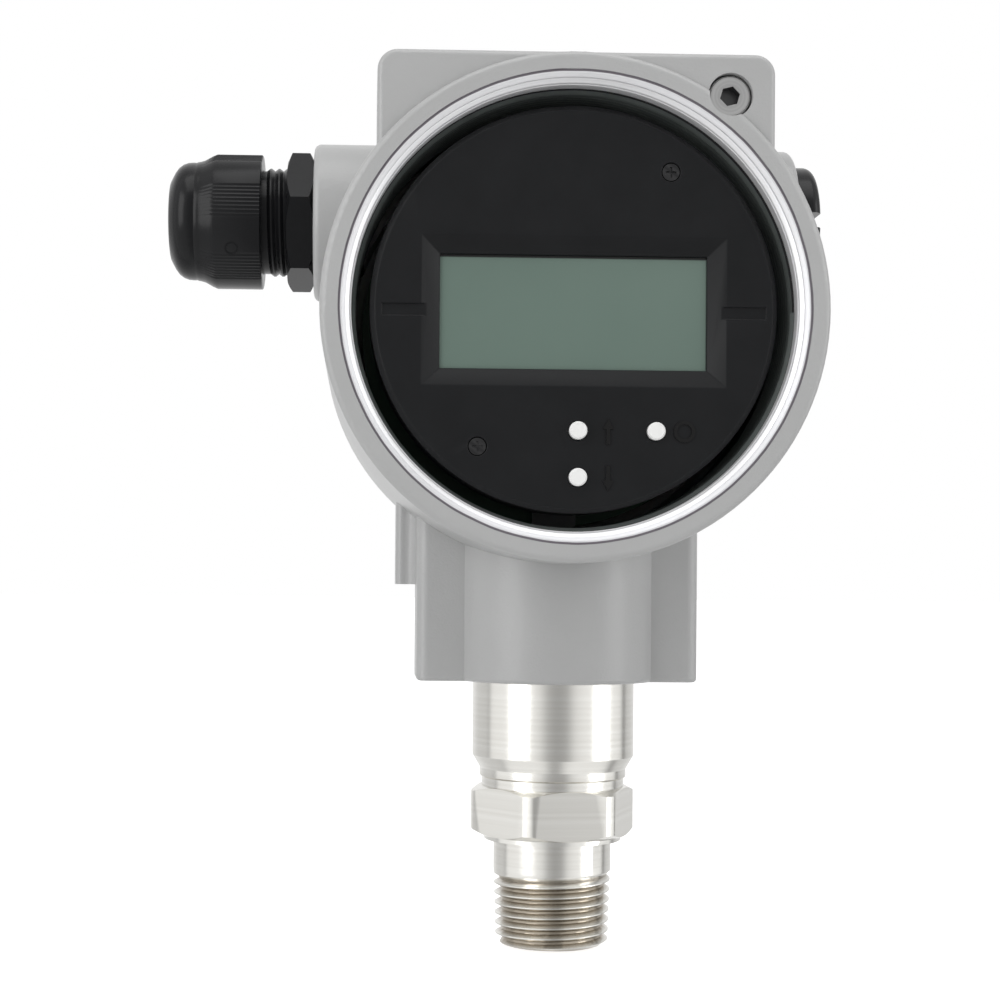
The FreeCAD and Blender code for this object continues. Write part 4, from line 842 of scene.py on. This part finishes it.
def makeCapNut(sizes):
    build = bmesh.new()
    shape = sizes["ribShape"]
    rings = []
    for step in range(sizes["steps"]):
        angle = math.radians(sizes["turn"]) + 2 * math.pi * step / sizes["steps"]
        ribbed = step % sizes["groupSteps"] < sizes["ribbedSteps"]
        part = shape[step % len(shape)] if ribbed else 0
        ring = []
        for x, radius, share in sizes["profile"]:
            reach = radius - sizes["ribDepth"] * share * part
            y, z = reach * math.cos(angle), conduitAxis.z + reach * math.sin(angle)
            ring.append(build.verts.new((x, y, z)))
        rings.append(ring)
    joinRings(build, rings)
    return build


def makeCapMark(sizes):
    # the round mould mark, left bare and wrapped on the nut's smooth stretch
    build = flatRing(sizes["markRadius"], sizes["markWidth"], sizes["markSteps"])
    raiseFlat(build, (0, 0, sizes["markHeight"]))
    for vert in build.verts:
        angle = math.radians(sizes["markTurn"]) + vert.co.y / sizes["gripRadius"]
        reach = sizes["gripRadius"] - sizes["markSink"] + vert.co.z
        vert.co = Vector((sizes["markAlong"] + vert.co.x, reach * math.cos(angle),
                          conduitAxis.z + reach * math.sin(angle)))
    return build


capNut = putPiece("gland_cap_nut_ribbed", makeCapNut(capSizes), materials["glandPlastic"], "gland_cap_nut")
shadeByAngle(capNut, capSizes["sharpAngle"])
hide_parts("gland_cap_nut")
putPiece("gland_mould_mark", makeCapMark(capSizes), materials["glandPlastic"], "gland_cap_nut")
print("cap nut made:", len(capNut.data.polygons), "faces")


# the process connection with its cut thread

threadSizes = {
    "pitch": 0.001814,
    "length": 0.0134,
    "topRadius": 0.01067,
    "depth": 0.00122,
    "crestFlat": 0.0002,
    "taper": 1 / 32,  # radius lost for each unit of length
    "runOut": 0.0022,
    "fadePower": 0.6,
    "tipChamfer": 0.0009,
    "portRadius": 0.003,
    "footSlack": 0.00001,
    "spareTurns": 2,  # spun past either end and cut off
    "seam": 0.00002,  # the plain part starts this far above the thread
    "overlap": 0.0001,  # and the thread reaches this far up into it
    "steps": 72,
    "sharpAngle": 28,
    "bevel": 0.00018,
    "bevelAngle": 32,
}


turnMergeDistance = 0.000004  # joins each turn of a thread to the next


def spinThread(build, profile, pitch, turns, steps, axis):
    # profile runs one pitch along the axis, so each turn joins the one before
    verts = [build.verts.new(point) for point in profile]
    edges = [build.edges.new(pair) for pair in zip(verts, verts[1:])]
    bmesh.ops.spin(build, geom=verts + edges, axis=axis, cent=(0, 0, 0), dvec=Vector(axis) * pitch / steps,
                   angle=2 * math.pi * turns, steps=steps * turns, use_merge=False)
    bmesh.ops.remove_doubles(build, verts=build.verts, dist=turnMergeDistance)
    bmesh.ops.recalc_face_normals(build, faces=build.faces)


def moveToRadius(vert, radius):
    share = radius / math.hypot(vert.co.x, vert.co.y)
    vert.co.x *= share
    vert.co.y *= share


def footEdges(build, slack):
    # the open edges at the lower end
    return [edge for edge in build.edges
            if edge.is_boundary and max(vert.co.z for vert in edge.verts) < slack]


def makeThread(sizes):
    # the taper thread with its lower end face and the port
    build = bmesh.new()
    length, top = sizes["length"], sizes["topRadius"]
    root = top - sizes["depth"]
    pitch, flat = sizes["pitch"], sizes["crestFlat"]
    profile = [(root, 0, 0), (root, 0, flat), (top, 0, pitch / 2 - flat / 2),
               (top, 0, pitch / 2 + flat / 2), (root, 0, pitch - flat), (root, 0, pitch)]
    profile = [(x, y, z - sizes["spareTurns"] * pitch) for x, y, z in profile]
    turns = int(length / pitch) + 2 * sizes["spareTurns"]
    spinThread(build, profile, pitch, turns, sizes["steps"], (0, 0, 1))
    cutBuild(build, (0, 0, 0), (0, 0, -1), clear_outer=True)
    cutBuild(build, (0, 0, length + sizes["overlap"]), (0, 0, 1), clear_outer=True)

    tip = top - length * sizes["taper"] - sizes["tipChamfer"]
    for vert in build.verts:
        left = length - vert.co.z
        fade = min(1, max(0, left / sizes["runOut"])) ** sizes["fadePower"]
        depth = (top - math.hypot(vert.co.x, vert.co.y)) * fade
        moveToRadius(vert, min(top - left * sizes["taper"] - depth, tip + max(0, vert.co.z)))

    rim = bmesh.ops.extrude_edge_only(build, edges=footEdges(build, sizes["footSlack"]))
    for vert in newVerts(rim):
        moveToRadius(vert, sizes["portRadius"])
    port = bmesh.ops.extrude_edge_only(build, edges=footEdges(build, sizes["footSlack"]))
    bmesh.ops.translate(build, verts=newVerts(port), vec=(0, 0, length))
    bmesh.ops.recalc_face_normals(build, faces=build.faces)
    return build


def makeProcessConnection(sizes):
    build = copyOfNode("process_connection")
    cutBuild(build, (0, 0, sizes["length"] + sizes["seam"]), (0, 0, 1), clear_inner=True)
    thread = makeThread(sizes)
    part = bpy.data.meshes.new("threadPart")
    thread.to_mesh(part)
    thread.free()
    build.from_mesh(part)
    bpy.data.meshes.remove(part)
    return build


connection = putPiece("process_connection_cut", makeProcessConnection(threadSizes),
                      materials["turnedStainless"], "stem")
shadeByAngle(connection, threadSizes["sharpAngle"])
bevelEdges(connection, threadSizes["bevel"], threadSizes["bevelAngle"])
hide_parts("process_connection")
print("process thread cut:", len(connection.data.polygons), "faces")


# the mouth of the drum, with the cover's internal thread, and the gland's outside thread

coverThread = {
    "pitch": 0.0015,
    "rootRadius": 0.03722,
    "crestRadius": 0.03665,
    "crestSpan": (0.44, 0.56),  # shares of the pitch
    "start": -0.0306,
    "turns": 9,
    "steps": 160,
    "along": (0, 1, 0),
    "out": (1, 0, 0),
    "facing": -1,  # towards the axis
}
glandThread = {
    "pitch": 0.0015,
    "rootRadius": 0.00928,
    "crestRadius": 0.00975,
    "crestSpan": (0.4, 0.6),
    "start": -0.05312,
    "end": -0.0492,
    "turns": 3,
    "steps": 64,
    "along": (1, 0, 0),
    "out": (0, 0, 1),
    "facing": 1,
}
mouthFacing = {
    "profile": [
        # radius, y; the bare facing behind the lip, with a fine groove, closed round the back
        (0.03889, -0.03391), (0.03870, -0.03378), (0.03864, -0.03352), (0.03852, -0.03352),
        (0.03846, -0.03364), (0.03772, -0.03318), (0.03752, -0.03292), (0.03747, -0.03262),
        (0.03735, -0.03262), (0.03730, -0.03248), (0.03730, -0.03030), (0.03834, -0.03030),
        (0.03834, -0.03330),
    ],
    "steps": 160,
}


def makeFineThread(sizes, centre):
    build = bmesh.new()
    root, crest, pitch = sizes["rootRadius"], sizes["crestRadius"], sizes["pitch"]
    along, out = Vector(sizes["along"]), Vector(sizes["out"])
    first, last = sizes["crestSpan"]
    profile = [out * radius + along * (sizes["start"] + pitch * share)
               for radius, share in ((root, 0), (crest, first), (crest, last), (root, 1))]
    spinThread(build, profile, pitch, sizes["turns"], sizes["steps"], along)
    if "end" in sizes:
        cutBuild(build, along * sizes["end"], along, clear_outer=True)
    bmesh.ops.translate(build, verts=build.verts, vec=centre)
    for face in build.faces:
        face.normal_update()
        away = face.calc_center_median() - centre
        away -= along * away.dot(along)
        if face.normal.dot(away) * sizes["facing"] < 0:
            face.normal_flip()
    return build


def makeMouthFacing(sizes):
    build = bmesh.new()
    rings = []
    for step in range(sizes["steps"]):
        angle = 2 * math.pi * step / sizes["steps"]
        rings.append([build.verts.new((radius * math.cos(angle), y, drumAxis.z + radius * math.sin(angle)))
                      for radius, y in sizes["profile"]])
    joinRings(build, rings)
    return build


for name, build, finish, slot in (
    # the cover thread's dark colour is painted shade of the bore
    ("cover_thread", makeFineThread(coverThread, drumAxis), "shadedThread", "cast_paint"),
    ("mouth_facing", makeMouthFacing(mouthFacing), "bareAluminium", "cast_paint"),
    ("gland_thread", makeFineThread(glandThread, conduitAxis), "glandPlastic", "black_plastic"),
):
    shadeByAngle(putPiece(name, build, materials[finish], "head"))
print("fine threads made")


# relief marks beside the buttons

markSizes = {
    "face": -0.0316,
    "height": 0.00025,
    "arrowWidth": 0.0018,
    "arrowLength": 0.0042,
    "shaftWidth": 0.00065,
    "headLength": 0.0017,
    "up": (0.0058, 0.0910),
    "down": (0.0058, 0.0832),
    "enter": (0.0186, 0.0911),
    "ringRadius": 0.0018,
    "ringWidth": 0.00055,
    "ringSteps": 40,
}


def makeArrow(sizes, place, way):
    build = bmesh.new()
    half, shaft = sizes["arrowWidth"] / 2, sizes["shaftWidth"] / 2
    length, head = sizes["arrowLength"] / 2, sizes["headLength"]
    corners = [(-shaft, -length), (shaft, -length), (shaft, length - head), (half, length - head),
               (0, length), (-half, length - head), (-shaft, length - head)]
    build.faces.new([build.verts.new((x + place[0], sizes["face"], way * z + place[1])) for x, z in corners])
    raiseFlat(build, (0, -sizes["height"], 0))
    return build


def makeRing(sizes, place):
    build = flatRing(sizes["ringRadius"], sizes["ringWidth"], sizes["ringSteps"])
    upright = Matrix.Rotation(math.radians(90), 3, "X")
    bmesh.ops.rotate(build, verts=build.verts, cent=(0, 0, 0), matrix=upright)
    bmesh.ops.translate(build, verts=build.verts, vec=(place[0], sizes["face"], place[1]))
    raiseFlat(build, (0, -sizes["height"], 0))
    return build


for name, build in (
    ("up_mark", makeArrow(markSizes, markSizes["up"], 1)),
    ("down_mark", makeArrow(markSizes, markSizes["down"], -1)),
    ("enter_mark", makeRing(markSizes, markSizes["enter"])),
):
    putPiece(name, build, materials["markPlastic"], "head")
print("relief marks made")
